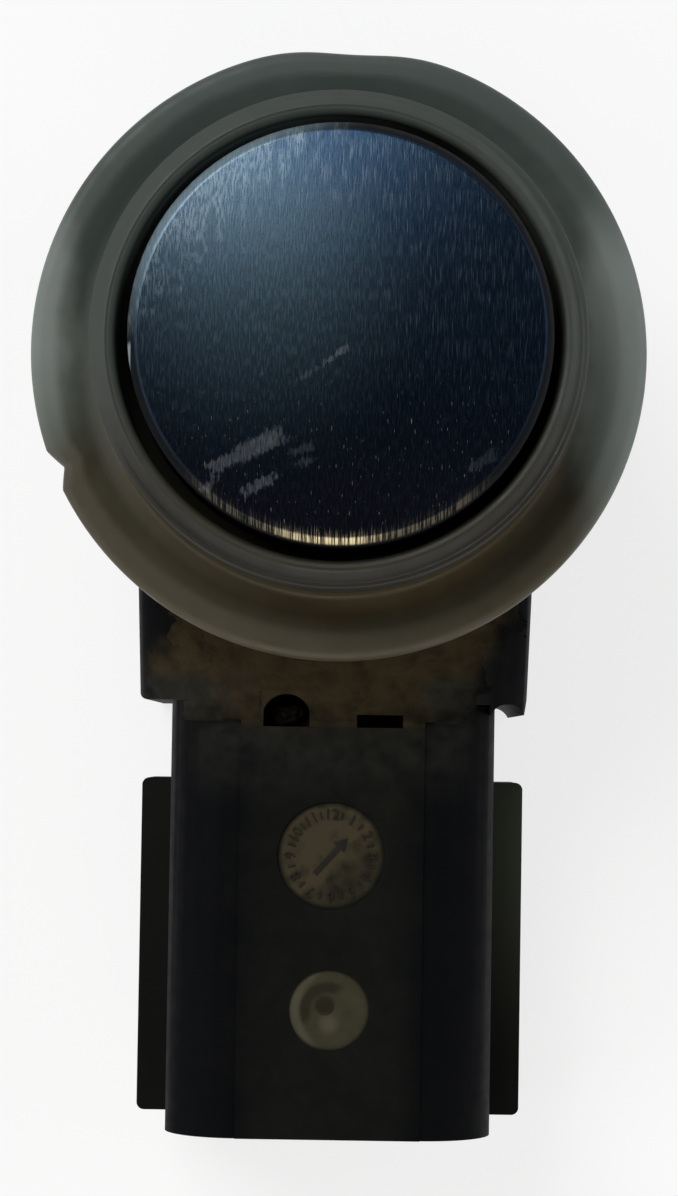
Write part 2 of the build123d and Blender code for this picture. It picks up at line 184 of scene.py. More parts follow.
class Value:
    """Number that a tree works out at each point, with its sums written as operators."""

    def __init__(self, tree: Tree, socket: Socket) -> None:
        """Remembers the tree and the socket that carries the number."""
        self.tree = tree
        self.socket = socket

    def __add__(self, other: object) -> "Value":
        """Adds a number."""
        return self.tree.math("ADD", self, other)

    def __sub__(self, other: object) -> "Value":
        """Takes a number away."""
        return self.tree.math("SUBTRACT", self, other)

    def __rsub__(self, other: object) -> "Value":
        """Takes this number away from a constant."""
        return self.tree.math("SUBTRACT", other, self)

    def __mul__(self, other: object) -> "Value":
        """Multiplies by a number, which also overlaps two masks."""
        return self.tree.math("MULTIPLY", self, other)

    def __or__(self, other: object) -> "Value":
        """Takes the larger number, which joins two masks."""
        return self.tree.math("MAXIMUM", self, other)

    def __abs__(self) -> "Value":
        """Drops the sign."""
        return self.tree.math("ABSOLUTE", self)

    def at_most(self, limit: float) -> "Value":
        """Holds the number down to a limit."""
        return self.tree.math("MINIMUM", self, limit)

    def fade(self, low: float, high: float) -> "Value":
        """Rises softly from 0 at low to 1 at high, or falls where high is the smaller one.

        Args:
            low: Number that gives 0.
            high: Number that gives 1.

        Returns:
            A share from 0 to 1.
        """
        falls = high < low
        node = self.tree.add("ShaderNodeMapRange", {
            "Value": self,
            "From Min": min(low, high),
            "From Max": max(low, high),
            "To Min": float(falls),
            "To Max": float(not falls),
        }, interpolation_type="SMOOTHSTEP")
        return Value(self.tree, node.outputs["Result"])

    def span(self, low: float, high: float) -> "Value":
        """Maps noise, which lies around one half, onto a range.

        Args:
            low: Result for the lower end of the noise.
            high: Result for its upper end.

        Returns:
            A number in the range.
        """
        node = self.tree.add("ShaderNodeMapRange", {
            "Value": self,
            "From Min": 0.3,
            "From Max": 0.7,
            "To Min": low,
            "To Max": high,
        })
        return Value(self.tree, node.outputs["Result"])


class Graph(Tree):
    """Shader tree of one material, which knows the place on the piece in millimetres."""

    def __init__(self, name: str) -> None:
        """Starts the tree of a new material.

        Args:
            name: Name of the material.
        """
        self.material = bpy.data.materials.new(name)
        self.material.use_nodes = True
        super().__init__(self.material.node_tree)
        metres = self.add("ShaderNodeTexCoord").outputs["Object"]
        self.place = self.vector("MULTIPLY", metres, (1 / MM, 1 / MM, 1 / MM))
        self.x, self.y, self.z = self.parts(self.place)

    def vector(self, operation: str, first: Socket, second: Sequence[float]) -> Socket:
        """Works out one sum of a vector and a constant one."""
        node = self.add("ShaderNodeVectorMath", {0: first, 1: second}, operation=operation)
        return node.outputs["Vector"]

    def parts(self, vector: Socket) -> list[Value]:
        """Splits a vector into its three parts."""
        node = self.add("ShaderNodeSeparateXYZ", {0: vector})
        return [Value(self, output) for output in node.outputs]

    def radius(self, x: float = 0.0, y: float = 0.0) -> Value:
        """Measures the distance in plan from an upright axis.

        Args:
            x: Place of the axis along X.
            y: Place of the axis along Y.

        Returns:
            The distance.
        """
        offset = self.vector("SUBTRACT", self.place, (x, y, 0.0))
        flat = self.vector("MULTIPLY", offset, (1.0, 1.0, 0.0))
        node = self.add("ShaderNodeVectorMath", {0: flat}, operation="LENGTH")
        return Value(self, node.outputs["Value"])

    def noise(self, scale: float, detail: float = 3.0, stretch: Sequence[float] = (1.0, 1.0, 1.0),
              shift: float = 0.0) -> Value:
        """Adds a soft random pattern.

        Args:
            scale: Features to the millimetre.
            detail: Octaves of finer noise.
            stretch: Factors that squeeze the pattern along X, Y and Z.
            shift: Offset that gives another part of the same noise.

        Returns:
            A value around one half.
        """
        squeezed = self.vector("MULTIPLY", self.place, tuple(stretch))
        node = self.add("ShaderNodeTexNoise", {
            "Vector": self.vector("ADD", squeezed, (shift, shift, shift)),
            "Scale": scale,
            "Detail": detail,
        }, noise_dimensions="3D")
        return Value(self, node.outputs["Fac"])

    def mix(self, share: Value, first: object, second: object) -> Socket:
        """Blends two colours, each a constant or a socket."""
        node = self.add("ShaderNodeMix", {0: share, 6: first, 7: second}, data_type="RGBA")
        return node.outputs[2]

    def bump(self, height: Value, depth: float, normal: Socket | None = None) -> Socket:
        """Raises the surface.

        Args:
            height: Share of the depth at each point.
            depth: Full depth of the relief, in millimetres.
            normal: Normal of a coarser relief under this one.

        Returns:
            The new normal.
        """
        inputs: dict[str | int, object] = {"Height": height, "Distance": depth * MM}
        if normal is not None:
            inputs["Normal"] = normal
        return self.add("ShaderNodeBump", inputs).outputs["Normal"]

    def facing_up(self) -> Value:
        """Gives the upward part of the surface normal."""
        return self.parts(self.add("ShaderNodeNewGeometry").outputs["Normal"])[2]

    def surface(self, colour: Socket, roughness: Value, normal: Socket,
                **others: object) -> bpy.types.Material:
        """Ends the tree in a principled shader.

        Args:
            colour: Base colour.
            roughness: Roughness.
            normal: Bumped normal.
            **others: What other inputs of the shader take, by name with _ for a space.

        Returns:
            The finished material.
        """
        inputs: dict[str | int, object] = {"Base Color": colour, "Roughness": roughness,
                                           "Normal": normal}
        for name, value in others.items():
            inputs[name.replace("_", " ")] = value
        shader = self.add("ShaderNodeBsdfPrincipled", inputs)
        self.add("ShaderNodeOutputMaterial", {"Surface": shader.outputs["BSDF"]})
        return self.material


class Pattern(Tree):
    """Geometry tree that adds a repeated form to a mesh, with named inputs."""

    def __init__(self, name: str) -> None:
        """Starts a tree that takes and gives geometry.

        Args:
            name: Name of the tree.
        """
        super().__init__(bpy.data.node_groups.new(name, "GeometryNodeTree"))
        for way in ("INPUT", "OUTPUT"):
            self.tree.interface.new_socket("Geometry", in_out=way,
                                           socket_type="NodeSocketGeometry")
        self.source = self.add("NodeGroupInput")
        self.keys: dict[str, str] = {}

    def size(self, name: str, kind: str = "Float") -> Socket:
        """Adds a named input.

        Args:
            name: Name of the input.
            kind: What it holds: Float, Int or Vector.

        Returns:
            The socket that carries it into the tree.
        """
        item = self.tree.interface.new_socket(name, in_out="INPUT",
                                              socket_type="NodeSocket" + kind)
        self.keys[name] = item.identifier
        return next(s for s in self.source.outputs if s.identifier == item.identifier)

    def close(self, form: Socket, material: bpy.types.Material) -> None:
        """Joins the new form to the mesh and ends the tree in plain geometry with its material.

        Args:
            form: Geometry of the new form.
            material: Material of the whole piece.
        """
        joined = self.add("GeometryNodeJoinGeometry")
        for part in (self.source.outputs[0], form):
            self.feed(joined.inputs[0], part)
        realised = self.add("GeometryNodeRealizeInstances", {"Geometry": joined.outputs[0]})
        dressed = self.add("GeometryNodeSetMaterial", {"Geometry": realised.outputs[0],
                                                       "Material": material})
        self.add("NodeGroupOutput", {0: dressed.outputs[0]})

    def grow(self, piece: bpy.types.Object, sizes: dict[str, object]) -> None:
        """Runs the tree on a piece and keeps the result as its plain mesh.

        Args:
            piece: Object whose mesh goes into the tree.
            sizes: Values of the named inputs.
        """
        modifier = piece.modifiers.new("pattern", "NODES")
        modifier.node_group = self.tree
        for name, value in sizes.items():
            modifier[self.keys[name]] = value
        settle(piece)


# Meshes


@contextmanager
def edited(mesh: bpy.types.Mesh) -> Iterator[bmesh.types.BMesh]:
    """Opens a mesh for editing and writes it back at the end.

    Args:
        mesh: Mesh that is edited.

    Yields:
        The form that is worked on.
    """
    form = bmesh.new()
    form.from_mesh(mesh)
    yield form
    form.to_mesh(mesh)
    form.free()


def evaluated(piece: bpy.types.Object) -> bpy.types.Mesh:
    """Works out the plain mesh of a piece with modifiers, or of a text.

    Args:
        piece: Object in the scene.

    Returns:
        Its mesh.
    """
    bpy.context.view_layer.update()
    graph = bpy.context.evaluated_depsgraph_get()
    return bpy.data.meshes.new_from_object(piece.evaluated_get(graph))


def settle(piece: bpy.types.Object) -> None:
    """Turns a piece with modifiers into its plain mesh.

    Args:
        piece: Piece that is changed.
    """
    mesh = evaluated(piece)
    piece.modifiers.clear()
    piece.data = mesh


def link(name: str, data: bpy.types.ID) -> bpy.types.Object:
    """Puts a mesh, a curve, a lamp or a camera into the scene.

    Args:
        name: Name of the object.
        data: What it shows.

    Returns:
        The object.
    """
    piece = bpy.data.objects.new(name, data)
    bpy.context.scene.collection.objects.link(piece)
    return piece


def mesh_from(name: str, points: Sequence[Sequence[float]],
              faces: Sequence[Sequence[int]]) -> bpy.types.Mesh:
    """Makes a smooth mesh with its faces outward.

    Args:
        name: Name of the mesh.
        points: Its points, in millimetres.
        faces: Its faces, as numbers of their points.

    Returns:
        The mesh, in metres.
    """
    mesh = bpy.data.meshes.new(name)
    mesh.from_pydata([[c * MM for c in point] for point in points], [], faces)
    with edited(mesh) as form:
        bmesh.ops.recalc_face_normals(form, faces=form.faces)
        for face in form.faces:
            face.smooth = True
    return mesh


def rounded(corners: Sequence[Triple], steps: int = 7, most: float = 0.48) -> list[Place]:
    """Rounds the corners of a closed outline.

    Args:
        corners: Radius, height and rounding of each corner, in order.
        steps: Spans that each rounding is drawn with.
        most: Share of a side that one rounding may take.

    Returns:
        The points of the outline.
    """
    points: list[Place] = []
    for index, (x, y, rounding) in enumerate(corners):
        here = Vector((x, y))
        back = Vector(corners[index - 1][:2]) - here
        ahead = Vector(corners[(index + 1) % len(corners)][:2]) - here
        reach = min(rounding / tan(back.angle(ahead) / 2), most * back.length,
                    most * ahead.length)
        start = here + back.normalized() * reach
        end = here + ahead.normalized() * reach
        for step in range(steps + 1):
            t = step / steps
            point = (1 - t) ** 2 * start + 2 * t * (1 - t) * here + t * t * end
            points.append((point.x, point.y))
    return points


def turned(name: str, outline: Sequence[Place], segments: int,
           shape: Callable[[float, float, float], Place]) -> bpy.types.Mesh:
    """Turns a closed outline about the Z axis.

    Args:
        name: Name of the mesh.
        outline: Radius and height of each point.
        segments: Steps round the axis.
        shape: Gives the true radius and height of a point at an angle in degrees.

    Returns:
        The closed mesh.
    """
    points = []
    faces = []
    count = len(outline)
    for turn in range(segments):
        angle = tau * turn / segments
        for radius, height in outline:
            true_radius, true_height = shape(radius, height, degrees(angle))
            points.append((true_radius * cos(angle), true_radius * sin(angle), true_height))
        following = (turn + 1) % segments
        for index in range(count):
            after = (index + 1) % count
            faces.append((turn * count + index, turn * count + after,
                          following * count + after, following * count + index))
    return mesh_from(name, points, faces)


def softened_copy(node: bpy.types.Object, name: str, edge: float,
                  shape: Callable[[bmesh.types.BMesh], None] | None = None) -> bpy.types.Object:
    """Copies a solid of the frame, joins its triangles and rounds its sharp edges.

    Args:
        node: Object of the frame.
        name: Name of the new piece.
        edge: Rounding of the edges, in millimetres.
        shape: Last touch to the joined form before its edges are rounded.

    Returns:
        The new piece.
    """
    mesh = bpy.data.meshes.new(name)
    with edited(mesh) as form:
        form.from_mesh(node.data)
        bmesh.ops.remove_doubles(form, verts=form.verts, dist=WELD * MM)
        bmesh.ops.dissolve_limit(form, angle_limit=radians(FLAT_ANGLE), verts=form.verts,
                                 edges=form.edges)
        if shape is not None:
            shape(form)
        for face in form.faces:
            face.smooth = True
    piece = link(name, mesh)
    bevel = piece.modifiers.new("edges", "BEVEL")
    bevel.width = edge * MM
    bevel.segments = 2
    bevel.limit_method = "ANGLE"
    bevel.angle_limit = radians(SHARP_ANGLE)
    bevel.harden_normals = True
    settle(piece)
    return piece


def dress(piece: bpy.types.Object, material: bpy.types.Material, slot: Slot | None = None,
          replaced: Sequence[str] = ()) -> None:
    """Gives a piece its material and its place in the frame.

    Args:
        piece: The finished piece.
        material: Its material.
        slot: Slot of the record, for a new piece; only whether one is given is read, and such a
            piece is attached to the root.
        replaced: Nodes of the frame that it stands for.
    """
    piece.data.materials.clear()
    piece.data.materials.append(material)
    if slot is not None:
        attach(piece, "root")
    if replaced:
        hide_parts(*replaced)
    LOG.info("%s: %d faces", piece.name, len(piece.data.polygons))


# Finishes


@dataclass(frozen=True)
class PlainFinish:
    """Finish of a small part: two tones that drift into each other over a fine relief."""

    name: str
    tone: Colour
    second_tone: Colour
    roughness: float = 0.5
    metallic: float = 0.0
    grain: float = 1.4
    relief: float = 0.006
    specular: float = 0.5
    stretch: Triple = (1.0, 1.0, 1.0)

    def material(self) -> bpy.types.Material:
        """Builds the material.

        Returns:
            The material.
        """
        graph = Graph(self.name)
        drift = graph.noise(self.grain, 4.0, self.stretch)
        fine = graph.noise(self.grain * 9, 2.0, self.stretch, shift=5.0)
        colour = graph.mix(drift.span(0.0, 1.0), self.tone, self.second_tone)
        rough = fine.span(self.roughness - 0.06, self.roughness + 0.08)
        return graph.surface(colour, rough, graph.bump(fine, self.relief),
                             Metallic=self.metallic, Specular_IOR_Level=self.specular)


@dataclass(frozen=True)
class SiliconeFinish:
    """Grey-green silicone, stained brown below; painted light makes it pale past the head's flats
    and in its throat, and painted shade darkens its valley and collar.
    """

    name: str = "silicone"
    body: Colour = srgb(64, 72, 67)
    shade: Colour = srgb(46, 52, 47)
    # painted light: pale where light shines through the ends of the flange
    pale: Colour = srgb(114, 121, 117)
    stain: Colour = srgb(62, 52, 30)
    rim: Colour = srgb(62, 57, 42)
    collar: Colour = srgb(52, 57, 52)
    collar_low: Colour = srgb(45, 42, 31)
    # painted shade on the collar's outer wall and inner edge below
    collar_shade: Colour = srgb(22, 20, 14)
    # painted light on the inner wall of the collar at the top
    throat_light: Colour = srgb(108, 113, 107)
    pale_start: float = 10.2
    lip_height: float = 22.7
    throat_radius: float = 8.32
    valley_radius: float = 9.4
    dirt_radius: float = 10.7
    valley_shade: Range = (10.9, 9.6)
    collar_radius: float = 9.3
    collar_foot: float = 19.2
    collar_wall_shade: Range = (8.42, 8.75)
    collar_mouth_shade: Range = (8.45, 8.3)
    relief: float = 0.02
    grain: float = 0.006

    def dirt(self, graph: Graph, radius: Value, blotch: Value) -> Value:
        """Masks the brown dirt that lies in the dish, most of it on the lower right.

        Args:
            graph: Tree of the material.
            radius: Distance from the axis.
            blotch: Coarse random value.

        Returns:
            A mask that is 1 where the dirt hides the silicone.
        """
        across = abs(graph.x)
        reach = radius - graph.y.fade(-4.0, -9.5) * 0.3 + across * 0.06
        dish = radius.fade(self.valley_radius - 0.3, self.valley_radius) \
            * reach.fade(self.dirt_radius, self.dirt_radius - 1.0)
        side = graph.x.fade(-9.0, 5.0) * 0.55 + 0.45 - graph.x.fade(4.0, 8.0) * 0.3
        low = (graph.y + across * 0.25).fade(2.0, -5.0)
        return (dish * side * low * blotch.span(0.8, 1.3)).at_most(0.95)

    def painted_backlight_ends(self, graph: Graph, drift: Value) -> Value:
        """Masks the two ends of the flange, past the head's flats, where painted light stands for
        the light that shines through them.

        Args:
            graph: Tree of the material.
            drift: Slow random value.

        Returns:
            A mask that is 1 where the silicone is pale.
        """
        side = abs(graph.x) + drift.span(-0.3, 0.3) + graph.x.fade(-1.0, 1.0) * 0.9
        level = graph.y + graph.x * 0.15
        return side.fade(self.pale_start - 0.5, self.pale_start + 0.8) \
            * level.fade(-7.5, -1.0) * graph.y.fade(7.0, 3.0)

    def collar_tone(self, graph: Graph, radius: Value) -> Socket:
        """Mixes the tone of the collar: browner below, with painted shade along its edges there.

        Args:
            graph: Tree of the material.
            radius: Distance from the axis.

        Returns:
            The colour.
        """
        # painted shade on the outer wall below and on the inner edge at the lower right
        outer = radius.fade(*self.collar_wall_shade) * graph.y.fade(0.0, -6.0) * 0.9
        inner = radius.fade(*self.collar_mouth_shade) * (graph.x - graph.y).fade(1.0, 8.0) * 0.7
        tone = graph.mix(graph.y.fade(-1.0, -7.5), self.collar, self.collar_low)
        return graph.mix(outer | inner, tone, self.collar_shade)

    def material(self) -> bpy.types.Material:
        """Builds the material.

        Returns:
            The material.
        """
        graph = Graph(self.name)
        radius = graph.radius()
        drift = graph.noise(0.35, 4.0, shift=2.0)
        blotch = graph.noise(1.1, 5.0, shift=9.0)
        fine = graph.noise(14.0, 3.0)
        low = (graph.y + drift.span(-1.5, 1.5)).fade(3.0, -7.0)
        # painted shade in the valley between the collar and the bead
        valley = radius.fade(*self.valley_shade) * 0.28
        collar = graph.z.fade(self.collar_foot - 0.4, self.collar_foot + 0.6) \
            * radius.fade(self.collar_radius + 0.3, self.collar_radius)
        # painted light inside the top of the collar, where the gap round the cup lies in shade
        throat_light = radius.fade(self.throat_radius + 0.05, self.throat_radius) \
            * graph.z.fade(self.lip_height + 0.2, self.lip_height - 0.1) \
            * graph.y.fade(0.0, 6.0)
        colour = graph.mix(low, self.body, self.rim)
        colour = graph.mix(valley, colour, self.shade)
        # painted light shining through the flange's ends past the head's flats
        colour = graph.mix(self.painted_backlight_ends(graph, drift), colour, self.pale)
        colour = graph.mix(self.dirt(graph, radius, blotch), colour, self.stain)
        colour = graph.mix(collar, colour, self.collar_tone(graph, radius))
        colour = graph.mix(throat_light, colour, self.throat_light)
        normal = graph.bump(fine, self.grain, graph.bump(blotch, self.relief))
        return graph.surface(colour, blotch.span(0.42, 0.6), normal, Specular_IOR_Level=0.3,
                             Subsurface_Weight=0.06, Subsurface_Scale=0.4 * MM)


@dataclass(frozen=True)
class Scuff:
    """Straight worn mark on the membrane."""

    start: Place
    end: Place
    width: float
    weight: float
    end_softness: float = 0.3

    def mask(self, graph: Graph, ragged: Value) -> Value:
        """Masks the mark.

        Args:
            graph: Tree of the material.
            ragged: Random value around zero that eats into the outline.

        Returns:
            A mask that rises to the weight of the mark along its middle.
        """
        along_x = self.end[0] - self.start[0]
        along_y = self.end[1] - self.start[1]
        half_length = hypot(along_x, along_y) / 2
        centre = (self.start[0] + along_x / 2, self.start[1] + along_y / 2, 0.0)
        turned_place = graph.add("ShaderNodeMapping", {
            "Vector": graph.vector("SUBTRACT", graph.place, centre),
            "Rotation": (0.0, 0.0, -atan2(along_y, along_x)),
        }, vector_type="POINT").outputs[0]
        along, across, _ = graph.parts(turned_place)
        ends = (abs(along) + ragged * 2.5).fade(half_length, half_length - self.end_softness)
        sides = (abs(across) + ragged).fade(self.width / 2, self.width / 4)
        return ends * sides * self.weight


@dataclass(frozen=True)
class MembraneFinish:
    """Dark blue metallic paint with fine upright streaks, scuffs and a bare lower edge, under
    painted reflection, highlights and shade.
    """

    name: str = "painted_metal"
    # painted reflection: the haze, blue, navy and dusk tones stand for the lamps' reflection across
    # the face
    haze: Colour = srgb(58, 76, 88)
    blue: Colour = srgb(24, 41, 59)
    navy: Colour = srgb(23, 35, 50)
    dusk: Colour = srgb(36, 38, 50)
    # painted shade and painted highlight of the rounded rim of the face
    edge: Colour = srgb(6, 8, 12)
    edge_highlight: Colour = srgb(92, 110, 120)
    scuff: Colour = srgb(96, 100, 104)
    # worn paint of the chips, also used for painted highlights on the streaks
    wear_and_highlight: Colour = srgb(122, 138, 146)
    speck: Colour = srgb(128, 126, 112)
    # bare metal, made bright and warm as a painted glint
    bare: Colour = srgb(196, 184, 150)
    face_radius: float = 7.84
    face_centre: Place = (0.07, 0.05)
    reflection_centre: Place = (-3.2, 1.4)
    reflection_reach: Range = (7.2, 0.8)
    streak_highlight_reach: Range = (4.8, 7.2)
    edge_highlight_reach: Range = (4.9, 7.8)
    chip_edge: Range = (-7.6, -7.66)
    chip_top: Range = (-0.3, -0.6)
    chip_bottom: Range = (-2.6, -2.0)
    chip_height: float = 23.2
    brush_marks: Triple = (17.0, 2.4, 1.0)
    fleck_marks: Triple = (24.0, 1.1, 1.0)
    speck_marks: Triple = (22.0, 3.0, 1.0)
    tongue_marks: Triple = (3.5, 0.9, 1.0)
    bare_marks: Triple = (25.0, 0.7, 0.7)
    ragged_marks: Triple = (8.0, 3.0, 1.0)
    relief: float = 0.003
    scuffs: tuple[Scuff, ...] = (
        Scuff((-1.6, -1.8), (-0.2, -0.85), 0.22, 0.26),
        Scuff((-0.8, -1.25), (0.4, -0.45), 0.28, 0.5),
        Scuff((-4.85, -5.1), (-3.2, -4.35), 0.6, 0.5),
        Scuff((-3.8, -4.6), (-1.85, -3.6), 0.85, 0.52),
        Scuff((-3.5, -5.95), (-2.15, -5.15), 0.5, 0.5),
        Scuff((-4.95, -5.9), (-4.3, -5.2), 0.4, 0.4),
        Scuff((-1.9, -4.5), (-0.8, -4.05), 0.42, 0.25),
        Scuff((-1.5, -4.85), (-0.75, -4.4), 0.4, 0.28),
        Scuff((4.7, -4.95), (5.95, -4.2), 0.5, 0.2),
    )

    def scuffed(self, graph: Graph, streak: Value) -> Value:
        """Masks the slanting scuffs of the lower half.

        Args:
            graph: Tree of the material.
            streak: Fine upright streaks, which break the scuffs up.

        Returns:
            A mask of all the scuffs.
        """
        ragged = graph.noise(1.0, 3.0, self.ragged_marks, shift=21.0).span(-0.1, 0.12)
        total, *others = [scuff.mask(graph, ragged) for scuff in self.scuffs]
        for mask in others:
            total = total | mask
        return total * streak.span(0.55, 1.2)

    def bare_metal_glint(self, graph: Graph, radius: Value) -> Value:
        """Masks the metal that shows in fine upright lines along the lower edge, brightened and
        warmed as a painted glint.

        Args:
            graph: Tree of the material.
            radius: Distance from the middle of the face.

        Returns:
            A mask that is strongest below the middle.
        """
        dash = graph.noise(1.0, 1.0, self.bare_marks, shift=3.0)
        centre = abs(graph.x + 0.3).fade(2.6, 0.8)
        reach = radius + dash.span(-0.35, 0.2)
        edge = reach.fade(self.face_radius - 0.6, self.face_radius - 0.3) \
            * radius.fade(self.face_radius - 0.04, self.face_radius - 0.13)
        lines = (dash.fade(0.44, 0.6) + centre * 0.25).at_most(1.0)
        return edge * graph.y.fade(-4.9, -6.6) * (centre * 0.78 + 0.15) * lines

    def tone(self, graph: Graph, radius: Value, corner: Value, patch: Value) -> Socket:
        """Mixes the blue of the paint with a painted reflection: hazy left of the middle, bluer
        above, navy on the lower right.

        Args:
            graph: Tree of the material.
            radius: Distance from the middle of the face.
            corner: Distance from the middle towards the upper left.
            patch: Mask of the haze, a painted reflection.

        Returns:
            The colour.
        """
        height = graph.y + graph.noise(0.3, 2.0, shift=4.0).span(-0.8, 0.8)
        # painted reflection: bluer above, navy and duskier towards the bottom
        colour = graph.mix(height.fade(-3.0, 4.0), self.navy, self.blue)
        colour = graph.mix(height.fade(-2.5, -6.5) * 0.75, colour, self.dusk)
        colour = graph.mix(patch, colour, self.haze)
        # painted shade on the rounded rim, with a painted highlight on its upper left
        rim = radius.fade(self.face_radius - 0.42, self.face_radius - 0.2)
        rim_highlight = corner.fade(*self.edge_highlight_reach)
        return graph.mix(rim, colour, graph.mix(rim_highlight, self.edge, self.edge_highlight))

    def material(self) -> bpy.types.Material:
        """Builds the material.

        Returns:
            The material.
        """
        graph = Graph(self.name)
        radius = graph.radius(*self.face_centre)
        corner = (graph.y - graph.x) * SLANT
        # painted reflection: a pale haze left of the middle
        patch = graph.radius(*self.reflection_centre).fade(*self.reflection_reach)
        streak = graph.noise(1.0, 3.0, self.brush_marks)
        fleck = graph.noise(1.0, 1.0, self.fleck_marks, shift=7.0)
        dot = graph.noise(1.0, 1.0, self.speck_marks, shift=31.0)
        tongue = graph.noise(1.0, 2.0, self.tongue_marks, shift=11.0).span(-1.4, 1.0)
        # painted highlight: bright streaks near the upper left edge where light catches the streaky
        # relief
        worn = (corner + tongue).fade(*self.streak_highlight_reach) * streak.fade(0.4, 0.6) * 0.32
        chip = graph.x.fade(*self.chip_edge) * graph.y.fade(*self.chip_top) \
            * graph.y.fade(*self.chip_bottom) \
            * graph.z.fade(self.chip_height, self.chip_height + 0.3)
        # painted highlight: fine bright upright lines where light catches the streaks
        lines = fleck.fade(0.52, 0.7) * graph.y.fade(-5.0, 1.0) \
            * radius.fade(self.face_radius - 0.25, self.face_radius - 0.45) \
            * (1.0 - patch) * 0.17
        specks = dot.fade(0.71, 0.76) * graph.y.fade(1.0, -4.0) * radius.fade(7.4, 7.2) * 0.7
        scuffed = self.scuffed(graph, streak)
        # real chips joined with the painted highlights of the streaks and lines
        bright = worn | chip | lines
        colour = self.tone(graph, radius, corner, patch)
        colour = graph.mix(bright, colour, self.wear_and_highlight)
        colour = graph.mix(specks, colour, self.speck)
        colour = graph.mix(scuffed, colour, self.scuff)
        colour = graph.mix(self.bare_metal_glint(graph, radius), colour, self.bare)
        dull = bright * 0.5 | specks | scuffed
        rough = streak.fade(0.44, 0.7) * 0.1 + 0.265 \
            + radius.fade(self.face_radius - 0.4, self.face_radius - 0.2) * 0.25
        return graph.surface(colour, rough, graph.bump(streak, self.relief),
                             Metallic=(1.0 - dull) * 0.92)


@dataclass(frozen=True)
class Dirt:
    """Dry dirt under the ring: brown and grey patches that thin out towards the wings, with painted
    shade at the foot of the slope.
    """

    brown: Colour = srgb(54, 46, 32)
    grey: Colour = srgb(44, 44, 40)
    # darker dirt, also used for painted shade at the foot of the slope
    dark: Colour = srgb(26, 24, 18)
    left_end: float = 7.6
    right_end: float = 5.6
    foot: float = -14.3
    climb: float = 0.4

    def colour(self, graph: Graph) -> Socket:
        """Mixes the patches of the dirt, darkened with painted shade towards the foot of the slope.

        Args:
            graph: Tree of the material.

        Returns:
            The colour.
        """
        patch = graph.noise(0.5, 3.0, shift=12.0)
        spot = graph.noise(1.2, 4.0, shift=15.0)
        reach = abs(graph.x) + patch.span(-1.2, 1.2)
        away = reach.fade(3.2, 5.2) * graph.y.fade(-11.8, -12.8)
        # darker at random dirt spots, and painted shade towards the foot of the slope
        shade = spot.span(-0.2, 0.6) + graph.y.fade(-13.0, -14.0) * 0.5
        return graph.mix(shade, graph.mix(away, self.brown, self.grey), self.dark)

    def cover(self, graph: Graph) -> Value:
        """Masks the part of the slope that the dirt covers.

        Args:
            graph: Tree of the material.

        Returns:
            A mask that is 1 under the dirt.
        """
        place = graph.x + graph.noise(0.8, 4.0, shift=18.0).span(-0.6, 0.6)
        climb = (graph.y - self.foot) * self.climb
        return place.fade(-self.left_end, -self.left_end + 1.3) \
            * (place - climb).fade(self.right_end, self.right_end - 2.0)


@dataclass(frozen=True)
class CrustFinish:
    """Caked dirt that fades into the black plastic at its ends."""

    name: str = "dry_dirt"
    dirt: Dirt = field(default_factory=Dirt)
    plastic: Colour = srgb(10, 11, 12)
    relief: float = 0.05

    def material(self) -> bpy.types.Material:
        """Builds the material.

        Returns:
            The material.
        """
        graph = Graph(self.name)
        grit = graph.noise(7.0, 5.0)
        colour = graph.mix(self.dirt.cover(graph), self.plastic, self.dirt.colour(graph))
        return graph.surface(colour, grit.span(0.75, 0.95), graph.bump(grit, self.relief),
                             Specular_IOR_Level=0.03)


